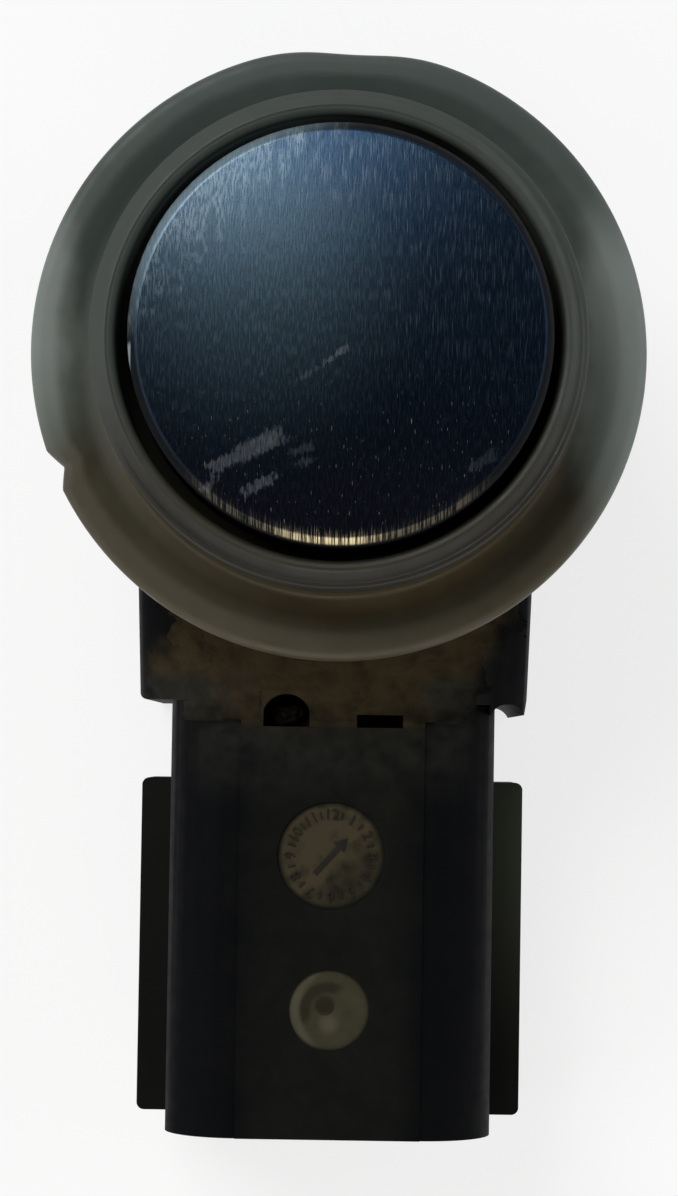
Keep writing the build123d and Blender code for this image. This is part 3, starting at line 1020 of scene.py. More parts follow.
@dataclass(frozen=True)
class HousingFinish:
    """Black moulded plastic with grey dust, brown dirt on the slope and two worn marks, with
    painted light on its walls, right rail and gate mark and painted shade on its shoulders and gate
    mark.
    """

    name: str = "black_plastic"
    body: Colour = srgb(8, 9, 10)
    flank: Colour = srgb(6, 7, 10)
    # painted light: upright walls lighter than the faces that look up
    wall_light: Colour = srgb(34, 35, 37)
    # painted shade on the rounded shoulders of the shroud
    shoulder_shade: Colour = srgb(2, 3, 5)
    rail: Colour = srgb(18, 19, 16)
    # painted light on the right rail, which lies in the body's shadow
    right_rail_light: Colour = srgb(56, 59, 50)
    dust: Colour = srgb(21, 22, 18)
    haze: Colour = srgb(36, 36, 33)
    dirt: Dirt = field(default_factory=Dirt)
    dial: Colour = srgb(62, 56, 42)
    gate: Colour = srgb(59, 56, 43)
    gate_shade: Colour = srgb(34, 32, 22)
    gate_light: Colour = srgb(82, 78, 64)
    dial_centre: Place = (0.0, -19.4)
    dial_radius: float = 2.15
    gate_centre: Place = (0.0, -25.5)
    gate_radius: float = 1.62
    nub_drift: float = 0.2
    face_height: float = 13.0
    pad_half_width: float = 3.66
    pocket_half_width: float = 3.0
    pocket_end: float = -14.2
    pocket_dirt_height: float = 11.0
    rail_place: float = 6.62
    rail_start: Range = (-15.0, -17.0)
    right_rail_light_reach: Range = (-29.0, -17.0)
    shoulder_height: Range = (8.5, 10.5)
    shoulder_start: Range = (-13.5, -14.5)
    dust_reach: Range = (-18.0, -14.6)
    dirt_top: Range = (-10.6, -11.6)
    relief: float = 0.006

    def slope(self, graph: Graph) -> Value:
        """Masks the dirt that sits on the slope, in its pockets and under the ring.

        Args:
            graph: Tree of the material.

        Returns:
            A mask that is 1 under the dirt.
        """
        above = graph.z.fade(self.face_height - 0.1, self.face_height + 0.1)
        pocket = graph.z.fade(self.pocket_dirt_height, self.pocket_dirt_height + 0.4) \
            * graph.y.fade(self.pocket_end, self.pocket_end + 0.2) \
            * abs(graph.x).fade(self.pocket_half_width + 0.2, self.pocket_half_width)
        return (above | pocket) * graph.y.fade(*self.dirt_top) \
            * graph.y.fade(self.dirt.foot - 0.6, self.dirt.foot) * self.dirt.cover(graph) * 0.95

    def bare_tone(self, graph: Graph, drift: Value, up: Value) -> Socket:
        """Mixes the tone of the clean plastic: painted light on its walls, painted shade on its
        shoulders, lighter rail tops and painted light along the right rail.

        Args:
            graph: Tree of the material.
            drift: Slow random value.
            up: Mask of the faces that look up.

        Returns:
            The colour.
        """
        facing = graph.facing_up()
        # painted shade on the rounded shoulders of the shroud
        shoulder_shade = facing.fade(0.92, 0.6) * graph.z.fade(*self.shoulder_height) \
            * graph.y.fade(*self.shoulder_start) * 0.6
        rail = up * abs(graph.x).fade(self.rail_place, self.rail_place + 0.1) \
            * graph.y.fade(*self.rail_start)
        # painted light along the right rail, fading along it
        right = graph.x.fade(-1.0, 1.0) * graph.y.fade(*self.right_rail_light_reach)
        colour = graph.mix(drift.span(0.0, 1.0), self.body, self.flank)
        # painted light on the upright walls
        colour = graph.mix(facing.fade(0.5, 0.3), colour, self.wall_light)
        colour = graph.mix(shoulder_shade, colour, self.shoulder_shade)
        return graph.mix(rail, colour, graph.mix(right, self.rail, self.right_rail_light))

    def dusted(self, graph: Graph, colour: Socket, up: Value, reach: Value,
               blotch: Value) -> Socket:
        """Lays the grey dust over the plastic, along the pad and above it.

        Args:
            graph: Tree of the material.
            colour: Tone of the plastic.
            up: Mask of the faces that look up.
            reach: Distance from the middle, made uneven.
            blotch: Coarse random value.

        Returns:
            The colour with the dust.
        """
        pad = up * reach.fade(self.pad_half_width + 0.5, self.pad_half_width - 1.4)
        colour = graph.mix(pad * blotch.span(0.55, 0.9), colour, self.dust)
        settled = up * graph.y.fade(*self.dust_reach) * blotch.span(0.2, 0.8) \
            * reach.fade(6.6, 5.0)
        return graph.mix(settled, colour, self.haze)

    def dial_mask(self, graph: Graph, face: Value, blotch: Value) -> Value:
        """Masks the worn dial, which is paler on its upper left.

        Args:
            graph: Tree of the material.
            face: Mask of the top of the shroud.
            blotch: Coarse random value.

        Returns:
            The mask.
        """
        x, y = self.dial_centre
        disc = graph.radius(x, y).fade(self.dial_radius, self.dial_radius - 0.3)
        across = graph.x - (graph.y - y)
        share = across.fade(2.0, -0.5) + 0.55
        return (face * disc * blotch.span(0.3, 1.0) * share).at_most(0.95)

    def gate_tone(self, graph: Graph, colour: Socket, face: Value, blotch: Value) -> Socket:
        """Lays the worn gate mark over the plastic: a pale disc with a crescent of painted light, a
        dark arc and a dark nub in painted shade, and a painted glint.

        Args:
            graph: Tree of the material.
            colour: Tone of the plastic.
            face: Mask of the top of the shroud.
            blotch: Coarse random value.

        Returns:
            The colour with the mark.
        """
        x, y = self.gate_centre
        inner = graph.radius(x - 0.05, y)
        disc = face * graph.radius(x, y).fade(self.gate_radius + 0.02, self.gate_radius - 0.15) \
            * blotch.span(0.75, 1.0)
        # painted light and shade of the mark's relief, with a painted glint
        crescent = disc * graph.radius(x + 0.35, y).fade(1.35, 1.7) \
            * graph.x.fade(-0.2, -0.8) * 0.8
        arc = face * inner.fade(0.6, 0.8) * inner.fade(1.2, 1.0) \
            * (graph.y - graph.x).fade(y + 0.1, y + 0.7) * 0.75
        glint = face * graph.radius(x, y - 0.55).fade(0.55, 0.1) * 0.6
        nub = face * graph.radius(x - self.nub_drift, y + self.nub_drift).fade(0.42, 0.26) * 0.9
        colour = graph.mix(disc, colour, self.gate)
        colour = graph.mix(crescent, colour, self.gate_light)
        colour = graph.mix(arc, colour, self.gate_shade)
        colour = graph.mix(glint, colour, self.gate_light)
        return graph.mix(nub, colour, self.gate_shade)

    def material(self) -> bpy.types.Material:
        """Builds the material.

        Returns:
            The material.
        """
        graph = Graph(self.name)
        up = graph.facing_up().fade(0.5, 0.95)
        face = graph.z.fade(self.face_height - 0.4, self.face_height - 0.25)
        drift = graph.noise(0.45, 4.0, shift=3.0)
        blotch = graph.noise(1.6, 5.0, shift=6.0)
        grain = graph.noise(16.0, 2.0)
        reach = abs(graph.x) + drift.span(-0.4, 0.4)
        colour = self.bare_tone(graph, drift, up)
        colour = self.dusted(graph, colour, up, reach, blotch)
        colour = graph.mix(self.slope(graph), colour, self.dirt.colour(graph))
        colour = graph.mix(self.dial_mask(graph, face, blotch), colour, self.dial)
        colour = self.gate_tone(graph, colour, face, blotch)
        return graph.surface(colour, blotch.span(0.52, 0.64), graph.bump(grain, self.relief),
                             Specular_IOR_Level=0.03)


@dataclass(frozen=True)
class BoardFinish:
    """Green laminate with tinned pads round its drilled holes."""

    name: str = "board_laminate"
    mask: Colour = srgb(18, 62, 44)
    mask_light: Colour = srgb(30, 84, 60)
    pad: Colour = srgb(178, 176, 168)
    holes: tuple[Place, ...] = ()
    pad_radius: float = 0.85
    relief: float = 0.01

    def material(self) -> bpy.types.Material:
        """Builds the material.

        Returns:
            The material.
        """
        graph = Graph(self.name)
        weave = graph.noise(7.0, 2.0, (1.0, 0.2, 1.0))
        colour = graph.mix(weave.span(0.0, 1.0), self.mask, self.mask_light)
        for hole in self.holes:
            ring = graph.radius(*hole).fade(self.pad_radius, self.pad_radius - 0.05)
            colour = graph.mix(ring, colour, self.pad)
        return graph.surface(colour, weave.span(0.3, 0.45), graph.bump(weave, self.relief),
                             Coat_Weight=0.3)


@dataclass(frozen=True)
class CapFinish:
    """Small electronic part: a coloured body between two tinned ends."""

    name: str
    body: Colour
    end: float
    centre: float
    along_x: bool
    metal: Colour = srgb(196, 194, 188)
    relief: float = 0.008

    def material(self) -> bpy.types.Material:
        """Builds the material.

        Returns:
            The material.
        """
        graph = Graph(self.name)
        axis = graph.x if self.along_x else graph.y
        cap = abs(axis - self.centre).fade(self.end, self.end + 0.02)
        fine = graph.noise(8.0, 3.0)
        colour = graph.mix(cap, self.body, self.metal)
        return graph.surface(colour, fine.span(0.32, 0.5), graph.bump(fine, self.relief),
                             Metallic=cap)


# Sub-assemblies


@dataclass
class Nose:
    """Round nose: the silicone ring and the painted cup inside it."""

    silicone: SiliconeFinish = field(default_factory=SiliconeFinish)
    paint: MembraneFinish = field(default_factory=MembraneFinish)
    sleeve_radius: float = 7.8
    sleeve_outer_radius: float = 9.3
    relief_floor: float = 20.6
    relief_shoulder: float = 0.6
    collar_inner_radius: float = 8.25
    collar_outer_radius: float = 9.26
    crest_radius: float = 8.62
    crest_end_radius: float = 8.99
    crest_fall: float = 0.12
    groove_width: float = 0.1
    groove_depth: float = 0.04
    lip_drop: float = 0.5
    head_height: float = 17.0
    valley_height: float = 18.35
    valley_width: float = 1.9
    bead_height: float = 18.7
    bead_width: float = 1.0
    worn_radii: Range = (8.5, 9.5)
    worn_bend: float = 1.3
    worn_start: Range = (20.0, 70.0)
    worn_end: Range = (235.0, 190.0)
    worn_share: float = 0.85
    wave_height: float = 0.05
    nick_angle: float = 203.6
    nick_depth: float = 0.42
    nick_lead: float = 4.0
    nick_return: float = 3.8
    sag_angle: float = 88.0
    sag_depth: float = 0.28
    sag_width: float = 10.0
    segments: int = 720
    cup_edge: float = 0.2
    flare_foot: float = 20.9
    flare_height: float = 0.5
    flare_growth: float = 0.012
    rim_radius: float = field(init=False, default=0.0)
    crest_height: float = field(init=False, default=0.0)

    def rim_offset(self, angle: float) -> float:
        """Tells how far the rim stands inside its full circle.

        Args:
            angle: Place round the ring, in degrees.

        Returns:
            The depth of the sag and the nick there.
        """
        sag = self.sag_depth * exp(-((angle - self.sag_angle) / self.sag_width) ** 2)
        turn = angle - self.nick_angle
        reach = self.nick_return if turn > 0 else self.nick_lead
        nick = self.nick_depth * max(0.0, 1 - abs(turn) / reach)
        return sag + nick

    def ring_shape(self, radius: float, height: float, angle: float) -> Place:
        """Places a point of the ring: worn smooth at the upper left, with a sag and a nick.

        Args:
            radius: Radius of the point in the section.
            height: Its height in the section.
            angle: Place round the ring, in degrees.

        Returns:
            Its true radius and height.
        """
        fall = smooth_step(radius, *self.worn_radii) ** self.worn_bend
        dome = self.crest_height - self.lip_drop * fall
        if height > self.crest_height - self.lip_drop - 0.1 and radius > self.crest_radius:
            smooth = smooth_step(angle, *self.worn_start) * smooth_step(angle, *self.worn_end)
            height += smooth * max(dome - height, 0.0) * self.worn_share
        share = smooth_step(radius, self.collar_outer_radius + 0.4, self.rim_radius)
        turn = radians(angle)
        wave = noise.noise(Vector((cos(turn) * 2, sin(turn) * 2, height / 4)))
        lift = self.wave_height * wave * share if height > self.valley_height - 0.2 else 0.0
        return radius - share * self.rim_offset(angle), height + lift

    def build_ring(self) -> bpy.types.Object:
        """Makes the ring from its section.

        Returns:
            The ring.
        """
        low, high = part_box("decoupling_ring")
        self.rim_radius = (high.x - low.x) / 2 / MM
        self.crest_height = high.z / MM
        bottom = low.z / MM
        rim = self.rim_radius
        crest = self.crest_height
        lip = crest - self.lip_drop
        section: list[Triple] = [
            (self.sleeve_radius, bottom, 0.1),
            (self.sleeve_radius, self.relief_floor - self.relief_shoulder, 0.2),
            (self.collar_inner_radius, self.relief_floor, 0.2),
            (self.collar_inner_radius, crest - self.crest_fall, 0.3),
            (self.crest_radius, crest, 0.35),
            (self.crest_end_radius, lip - self.groove_depth, 0.12),
            (self.crest_end_radius + self.groove_width, lip - 0.01, 0.05),
            (self.collar_outer_radius, lip - 0.04, 0.14),
            (self.collar_outer_radius, self.valley_height, 0.75),
            (rim - self.valley_width, self.valley_height - 0.02, 1.2),
            (rim - self.bead_width, self.bead_height, 1.0),
            (rim, self.bead_height, 0.75),
            (rim, self.head_height, 0.4),
            (self.sleeve_outer_radius, self.head_height, 0.05),
            (self.sleeve_outer_radius, bottom, 0.1),
        ]
        mesh = turned("ring_skin", rounded(section), self.segments, self.ring_shape)
        return link("ring_skin", mesh)

    def flare(self, form: bmesh.types.BMesh) -> None:
        """Lets the painted end of the cup stand out a little in its gap, and a little off centre.

        Args:
            form: Mesh of the cup.
        """
        heights = (self.flare_foot, self.flare_foot + self.flare_height)
        for height in heights:
            bmesh.ops.bisect_plane(form, geom=form.verts[:] + form.edges[:] + form.faces[:],
                                   plane_co=(0, 0, height * MM), plane_no=(0, 0, 1))
        shift = Vector((*self.paint.face_centre, 0.0)) * MM
        for vertex in form.verts:
            share = smooth_step(vertex.co.z / MM, *heights)
            outward = Vector((vertex.co.x, vertex.co.y, 0.0)) * self.flare_growth
            vertex.co += share * (shift + outward)

    def build(self, frame: dict) -> None:
        """Builds and dresses the ring and the cup.

        Args:
            frame: The loaded frame.
        """
        dress(self.build_ring(), self.silicone.material(), Slot.RING, ["decoupling_ring"])
        cup = softened_copy(frame["nodes"]["transducer_cup"], "cup_skin", self.cup_edge,
                            self.flare)
        dress(cup, self.paint.material(), Slot.CUP, ["transducer_cup"])


@dataclass
class Dial:
    """Raised figures, ticks and arrow of the date dial."""

    centre: Place
    floor: float
    sunk: float = 0.01
    figure_height: float = 0.07
    figure_size: float = 0.62
    figure_radius: float = 1.62
    figure_count: int = 12
    arrow_length: float = 1.9
    arrow_turn: float = 48.0
    arrow_head_length: float = 0.5
    arrow_half_width: float = 0.26
    shaft_half_width: float = 0.09
    tick_size: Triple = (0.3, 0.06, 0.07)

    def figure(self, text: str) -> bpy.types.Mesh:
        """Makes the raised form of a number, centred on the origin.

        Args:
            text: The number.

        Returns:
            Its mesh.
        """
        curve = bpy.data.curves.new(text, "FONT")
        curve.body = text
        curve.size = self.figure_size * MM
        curve.extrude = self.figure_height / 2 * MM
        curve.align_x = "CENTER"
        curve.align_y = "CENTER"
        curve.resolution_u = 2
        holder = link("figure", curve)
        mesh = evaluated(holder)
        bpy.data.objects.remove(holder)
        return mesh

    def add_arrow(self, form: bmesh.types.BMesh) -> None:
        """Adds the raised arrow to a form.

        Args:
            form: Mesh that is being built.
        """
        base = Vector((*self.centre, self.floor - self.sunk))
        tip = self.arrow_length / 2
        neck = tip - self.arrow_head_length
        side = [(-tip, self.shaft_half_width), (neck, self.shaft_half_width),
                (neck, self.arrow_half_width)]
        outline = [(x, -y) for x, y in side] + [(tip, 0.0)] + side[::-1]
        turn = Matrix.Rotation(radians(self.arrow_turn), 4, "Z")
        lower = [form.verts.new((base + turn @ Vector((x, y, 0))) * MM) for x, y in outline]
        rise = Vector((0, 0, self.figure_height * MM))
        upper = [form.verts.new(vertex.co + rise) for vertex in lower]
        form.faces.new(upper)
        form.faces.new(list(reversed(lower)))
        for index, vertex in enumerate(lower):
            after = (index + 1) % len(lower)
            form.faces.new((vertex, lower[after], upper[after], upper[index]))

    def ticks(self, material: bpy.types.Material) -> Pattern:
        """Builds the tree that sets the ticks between the numbers.

        Args:
            material: Material of the figures.

        Returns:
            The tree, which adds its ticks to the mesh it is given.
        """
        pattern = Pattern("dial_ticks")
        ring = pattern.add("GeometryNodeMeshCircle", {"Vertices": pattern.size("Count", "Int"),
                                                      "Radius": pattern.size("Radius")})
        tick = pattern.add("GeometryNodeMeshCube", {"Size": pattern.size("Tick size", "Vector")})
        place = pattern.add("GeometryNodeInputPosition").outputs[0]
        outward = pattern.add("FunctionNodeAlignRotationToVector", {"Vector": place}, axis="X")
        placed = pattern.add("GeometryNodeInstanceOnPoints", {
            "Points": ring.outputs[0],
            "Instance": tick.outputs[0],
            "Rotation": outward.outputs[0],
        })
        moved = pattern.add("GeometryNodeTransform", {
            "Geometry": placed.outputs[0],
            "Translation": pattern.size("Centre", "Vector"),
            "Rotation": (0.0, 0.0, pi / self.figure_count),
        })
        pattern.close(moved.outputs[0], material)
        return pattern

    def build(self, material: bpy.types.Material) -> None:
        """Builds and dresses the dial as one piece.

        Args:
            material: Material of the figures.
        """
        x, y = self.centre
        middle = self.floor + self.figure_height / 2 - self.sunk
        mesh = bpy.data.meshes.new("dial_figures")
        with edited(mesh) as form:
            for number in range(1, self.figure_count + 1):
                angle = radians(90 - 360 * number / self.figure_count)
                place = Vector((x + self.figure_radius * cos(angle),
                                y + self.figure_radius * sin(angle), middle))
                part = self.figure(str(number))
                part.transform(Matrix.Translation(place * MM)
                               @ Matrix.Rotation(angle - pi / 2, 4, "Z"))
                form.from_mesh(part)
            self.add_arrow(form)
        dial = link("dial_figures", mesh)
        self.ticks(material).grow(dial, {
            "Count": self.figure_count,
            "Radius": self.figure_radius * MM,
            "Tick size": [side * MM for side in self.tick_size],
            "Centre": [x * MM, y * MM, middle * MM],
        })
        dress(dial, material, Slot.HOUSING)


@dataclass
class Crust:
    """Dirt caked on the slope of the housing, with a lump in the left pocket."""

    face_height: float
    finish: CrustFinish = field(default_factory=CrustFinish)
    slope_angle: float = 31.5
    slope_top: float = 16.0
    pocket_place: float = 1.86
    pocket_half_width: float = 0.915
    pocket_length: float = 1.3
    pocket_floor: float = 11.6
    pocket_edge: float = 0.12
    slit_length: float = 0.45
    half_width: float = 7.5
    reach: float = 6.3
    columns: int = 210
    rows: int = 100
    thickness: float = 0.07
    rough_height: float = 0.09
    rough_grain: float = 0.9
    fine_height: float = 0.03
    fine_grain: float = 5.0
    end_range: Range = (5.6, 7.6)
    end_waver: float = 1.4
    end_loss: float = 0.3
    right_end_inset: float = 1.0
    foot_length: float = 0.35
    foot_loss: float = 0.22
    neck_half_width: float = 6.2
    notch_start: float = -13.2
    notch_softness: float = 0.3
    notch_loss: float = 0.4
    pocket_fall: float = 0.6
    pocket_waver: float = 0.1
    shell: float = 0.1
    sunk: float = -0.06
    lump_place: Place = (0.5, 0.4)
    lump_size: Triple = (0.62, 0.42, 0.42)
    lump_roughness: float = 0.35
    lump_grain: float = 2.2

    def slope_height(self, y: float) -> float:
        """Gives the height of the slope under the ring."""
        rise = (y - self.finish.dirt.foot) * tan(radians(self.slope_angle))
        return min(self.face_height + max(rise, 0.0), self.slope_top)

    def in_pocket(self, x: float, y: float, side: int) -> float:
        """Tells how far a place lies inside a D pocket, negative outside it."""
        from_middle = self.pocket_half_width - abs(x - side * self.pocket_place)
        return min(from_middle, self.finish.dirt.foot + self.pocket_length - y)

    def depth(self, x: float, y: float) -> float:
        """Works out how thick the dirt lies at a place on the slope.

        Args:
            x: Place across the slope.
            y: Place along it.

        Returns:
            The thickness, below zero where no dirt lies.
        """
        up = y - self.finish.dirt.foot
        rough = noise.fractal(Vector((x * self.rough_grain, y * self.rough_grain, 2.0)),
                              0.9, 2.2, 4)
        fine = noise.noise(Vector((x * self.fine_grain, y * self.fine_grain, 5.0)))
        depth = self.thickness + self.rough_height * rough + self.fine_height * fine
        right = x + self.right_end_inset - self.finish.dirt.climb * up
        end = max(-x, right) + self.end_waver * rough
        aside = smooth_step(abs(x), self.neck_half_width - self.notch_softness,
                            self.neck_half_width)
        below = smooth_step(self.notch_start - y, -self.notch_softness, 0.0)
        depth -= self.end_loss * smooth_step(end, *self.end_range)
        depth -= self.foot_loss * smooth_step(self.foot_length - up, 0.0, self.foot_length)
        depth -= self.notch_loss * aside * below
        left = self.in_pocket(x, y, -1) + self.pocket_edge
        if left > 0.0:
            depth = min(depth, -self.pocket_fall * (left - self.pocket_waver * abs(fine)))
        if self.in_pocket(x, y, 1) > 0.0 and up < self.slit_length:
            depth = -1.0
        return depth

    def sheet(self) -> bpy.types.Mesh:
        """Makes the upper face of the dirt, which sinks into the plastic at its ends.

        Returns:
            The open sheet.
        """
        points = []
        shown = []
        for row in range(self.rows + 1):
            y = self.finish.dirt.foot + self.reach * row / self.rows
            for column in range(self.columns + 1):
                x = self.half_width * (2 * column / self.columns - 1)
                depth = self.depth(x, y)
                shown.append(depth > self.sunk)
                points.append((x, y, self.slope_height(y) + max(depth, self.sunk)))
        faces = []
        across = self.columns + 1
        for row in range(self.rows):
            for first in range(row * across, row * across + self.columns):
                corners = (first, first + 1, first + across + 1, first + across)
                if all(shown[corner] for corner in corners):
                    faces.append(corners)
        mesh = mesh_from("slope_dirt", points, faces)
        with edited(mesh) as form:
            loose = [vertex for vertex in form.verts if not vertex.link_faces]
            bmesh.ops.delete(form, geom=loose, context="VERTS")
            if sum(face.normal.z for face in form.faces) < 0:
                bmesh.ops.reverse_faces(form, faces=form.faces)
        return mesh

    def add_lump(self, form: bmesh.types.BMesh) -> None:
        """Adds the lump that sits in the left pocket to a form.

        Args:
            form: Mesh that is being built.
        """
        inward, rise = self.lump_place
        centre = Vector((-self.pocket_place, self.finish.dirt.foot + inward,
                         self.pocket_floor + rise))
        lump = bmesh.ops.create_icosphere(form, subdivisions=4, radius=1.0)
        for vertex in lump["verts"]:
            push = 1 + self.lump_roughness * noise.noise(vertex.co * self.lump_grain)
            vertex.co = (centre + vertex.co * Vector(self.lump_size) * push) * MM
            for face in vertex.link_faces:
                face.smooth = True

    def build(self) -> None:
        """Builds and dresses the dirt as one piece."""
        piece = link("slope_dirt", self.sheet())
        shell = piece.modifiers.new("shell", "SOLIDIFY")
        shell.thickness = self.shell * MM
        shell.offset = -1.0
        settle(piece)
        with edited(piece.data) as form:
            self.add_lump(form)
        dress(piece, self.finish.material(), Slot.HOUSING)


@dataclass
class Body:
    """Black housing with its date dial and the dirt on its slope."""

    plastic: HousingFinish = field(default_factory=HousingFinish)
    edge: float = 0.12
    dial_recess: float = 0.12

    def build(self, frame: dict) -> None:
        """Builds and dresses the housing, its dial and its dirt.

        Args:
            frame: The loaded frame.
        """
        shell = softened_copy(frame["nodes"]["housing"], "housing_shell", self.edge)
        dress(shell, self.plastic.material(), Slot.HOUSING, ["housing"])
        figures = PlainFinish("dial_figures", srgb(30, 27, 19), srgb(20, 18, 13), 0.55,
                              relief=0.004, specular=0.15)
        floor = self.plastic.face_height - self.dial_recess
        Dial(self.plastic.dial_centre, floor).build(figures.material())
        Crust(self.plastic.face_height).build()


@dataclass
class Winding:
    """Copper winding of the transformer, with its outer layer of turns."""

    finish: PlainFinish = PlainFinish("copper_wire", srgb(190, 98, 52), srgb(150, 72, 36), 0.3,
                                      1.0, 3.0)
    turns: int = 17
    wire_radius: float = 0.09
    bore: float = 1.4
    edge: float = 0.05
    segments: int = 64
    turn_steps: int = 40
    wire_sides: int = 8

    def tree(self, material: bpy.types.Material) -> Pattern:
        """Builds the tree that lays the outer turns over the inner layers.

        Args:
            material: Material of the wire.

        Returns:
            The tree, which adds its turns to the mesh it is given.
        """
        pattern = Pattern("winding_turns")
        turns = pattern.size("Turns")
        radius = pattern.size("Radius")
        height = pattern.size("Height")
        wire = pattern.size("Wire radius")
        spiral = pattern.add("GeometryNodeCurveSpiral", {
            "Resolution": self.turn_steps,
            "Rotations": turns,
            "Start Radius": radius,
            "End Radius": radius,
            "Height": height,
        })
        section = pattern.add("GeometryNodeCurvePrimitiveCircle", {
            "Resolution": self.wire_sides,
            "Radius": wire,
        })
        coil = pattern.add("GeometryNodeCurveToMesh", {
            "Curve": spiral.outputs[0],
            "Profile Curve": section.outputs[0],
            "Fill Caps": True,
        })
        smooth = pattern.add("GeometryNodeSetShadeSmooth", {"Geometry": coil.outputs[0]})
        moved = pattern.add("GeometryNodeTransform", {
            "Geometry": smooth.outputs[0],
            "Translation": pattern.size("Corner", "Vector"),
        })
        pattern.close(moved.outputs[0], material)
        return pattern

    def build(self) -> None:
        """Builds and dresses the winding."""
        low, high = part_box("transformer_winding")
        centre = (low + high) / 2
        bottom, top = low.z / MM, high.z / MM
        inner = (high.x - low.x) / 2 / MM - self.wire_radius
        core = rounded([(radius, height, self.edge) for radius, height in (
            (self.bore, bottom), (inner, bottom), (inner, top), (self.bore, top))], 3)
        mesh = turned("winding_turns", core, self.segments,
                      lambda radius, height, angle: (radius, height))
        mesh.transform(Matrix.Translation((centre.x, centre.y, 0)))
        piece = link("winding_turns", mesh)
        material = self.finish.material()
        self.tree(material).grow(piece, {
            "Turns": float(self.turns),
            "Radius": inner * MM,
            "Height": (top - bottom - 2 * self.wire_radius) * MM,
            "Wire radius": self.wire_radius * MM,
            "Corner": (centre.x, centre.y, low.z + self.wire_radius * MM),
        })
        dress(piece, material, Slot.WINDING, ["transformer_winding"])


@dataclass
class Inside:
    """Parts behind the membrane, on the circuit board and in the socket."""

    winding: Winding = field(default_factory=Winding)
    cap_length: float = 0.36
    terminal_half_width: float = 0.32

    def finishes(self) -> dict[str, PlainFinish]:
        """Lists the plain finishes.

        Returns:
            Each finish by the node that it dresses.
        """
        tin = PlainFinish("tinned_pin", srgb(196, 194, 186), srgb(160, 158, 150), 0.28, 1.0, 2.0)
        gold = PlainFinish("terminal_plating", srgb(206, 178, 112), srgb(178, 148, 86), 0.26, 1.0,
                           2.0, stretch=(1.0, 0.2, 1.0))
        return {
            "rear_cover": PlainFinish("cover_plastic", srgb(18, 19, 20), srgb(12, 13, 14), 0.5,
                                      specular=0.3),
            "support_washer": PlainFinish("washer_silicone", srgb(78, 82, 78), srgb(62, 66, 62),
                                          0.6),
            "piezo_disc": PlainFinish("piezo_ceramic", srgb(206, 196, 170), srgb(186, 176, 150),
                                      0.45, grain=3.0),
            "damping_pad": PlainFinish("pad_foam", srgb(66, 66, 66), srgb(44, 44, 44), 0.95,
                                       grain=5.0, relief=0.08),
            "contact_carrier": PlainFinish("carrier_plastic", srgb(196, 190, 172),
                                           srgb(180, 172, 152), 0.5),
            "contact_pin_signal": tin,
            "contact_pin_ground": tin,
            "lead_wire_signal": PlainFinish("wire_red", srgb(150, 36, 28), srgb(122, 28, 22), 0.45),
            "lead_wire_ground": PlainFinish("wire_black", srgb(26, 26, 28), srgb(18, 18, 20), 0.45),
            "control_chip": PlainFinish("chip_resin", srgb(36, 36, 38), srgb(28, 28, 30), 0.6,
                                        grain=6.0),
            "transformer_core": PlainFinish("ferrite", srgb(46, 46, 50), srgb(34, 34, 38), 0.6,
                                            grain=4.0),
            "transformer_bobbin": PlainFinish("bobbin_plastic", srgb(62, 34, 22),
                                              srgb(48, 26, 18), 0.4),
            "terminal_supply": gold,
            "terminal_signal": gold,
            "terminal_ground": gold,
        }

    def capped(self) -> dict[str, CapFinish]:
        """Lists the finishes of the capped parts, measured on their boxes.

        Returns:
            Each finish by the node that it dresses.
        """
        result = {}
        bodies = {
            "ceramic_capacitors": (srgb(150, 118, 82), False),
            "chip_resistors": (srgb(24, 24, 26), False),
            "tank_capacitor": (srgb(178, 138, 70), True),
            "protection_diode": (srgb(26, 26, 28), True),
        }
        for node, (body, along_x) in bodies.items():
            low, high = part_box(node)
            axis = 0 if along_x else 1
            half = (high[axis] - low[axis]) / 2 / MM
            middle = (high[axis] + low[axis]) / 2 / MM
            result[node] = CapFinish(node, body, half - self.cap_length, middle, along_x)
        return result

    def board(self) -> BoardFinish:
        """Gives the board its pads, where the terminals and the pins pass through it.

        Returns:
            The finish of the board.
        """
        holes = []
        for node in ("contact_pin_signal", "contact_pin_ground"):
            low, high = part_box(node)
            holes.append(((low.x + high.x) / 2 / MM, (low.y + high.y) / 2 / MM))
        for node in ("terminal_supply", "terminal_signal", "terminal_ground"):
            low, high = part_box(node)
            holes.append(((low.x + high.x) / 2 / MM, high.y / MM - self.terminal_half_width))
        return BoardFinish(holes=tuple(holes))

    def build(self, frame: dict) -> None:
        """Dresses the solids of the frame and builds the winding.

        Args:
            frame: The loaded frame.
        """
        made: dict[str, bpy.types.Material] = {}
        for node, finish in {**self.finishes(), **self.capped(),
                             "circuit_board": self.board()}.items():
            if finish.name not in made:
                made[finish.name] = finish.material()
            dress(frame["nodes"][node], made[finish.name])
        self.winding.build()


# Studio


@dataclass(frozen=True)
class Lamp:
    """Square soft lamp that is aimed at the nose."""

    name: str
    place: Triple
    size: float
    radiance: float
    tint: Triple = (1.0, 1.0, 1.0)

    def build(self, target: Vector) -> None:
        """Hangs the lamp.

        Args:
            target: Point that it shines on, in millimetres.
        """
        light = bpy.data.lights.new(self.name, "AREA")
        light.size = self.size * MM
        light.energy = self.radiance * pi * light.size ** 2
        light.color = self.tint
        lamp = link(self.name, light)
        place = Vector(self.place)
        lamp.location = place * MM
        lamp.rotation_euler = (place - target).to_track_quat("Z", "Y").to_euler()


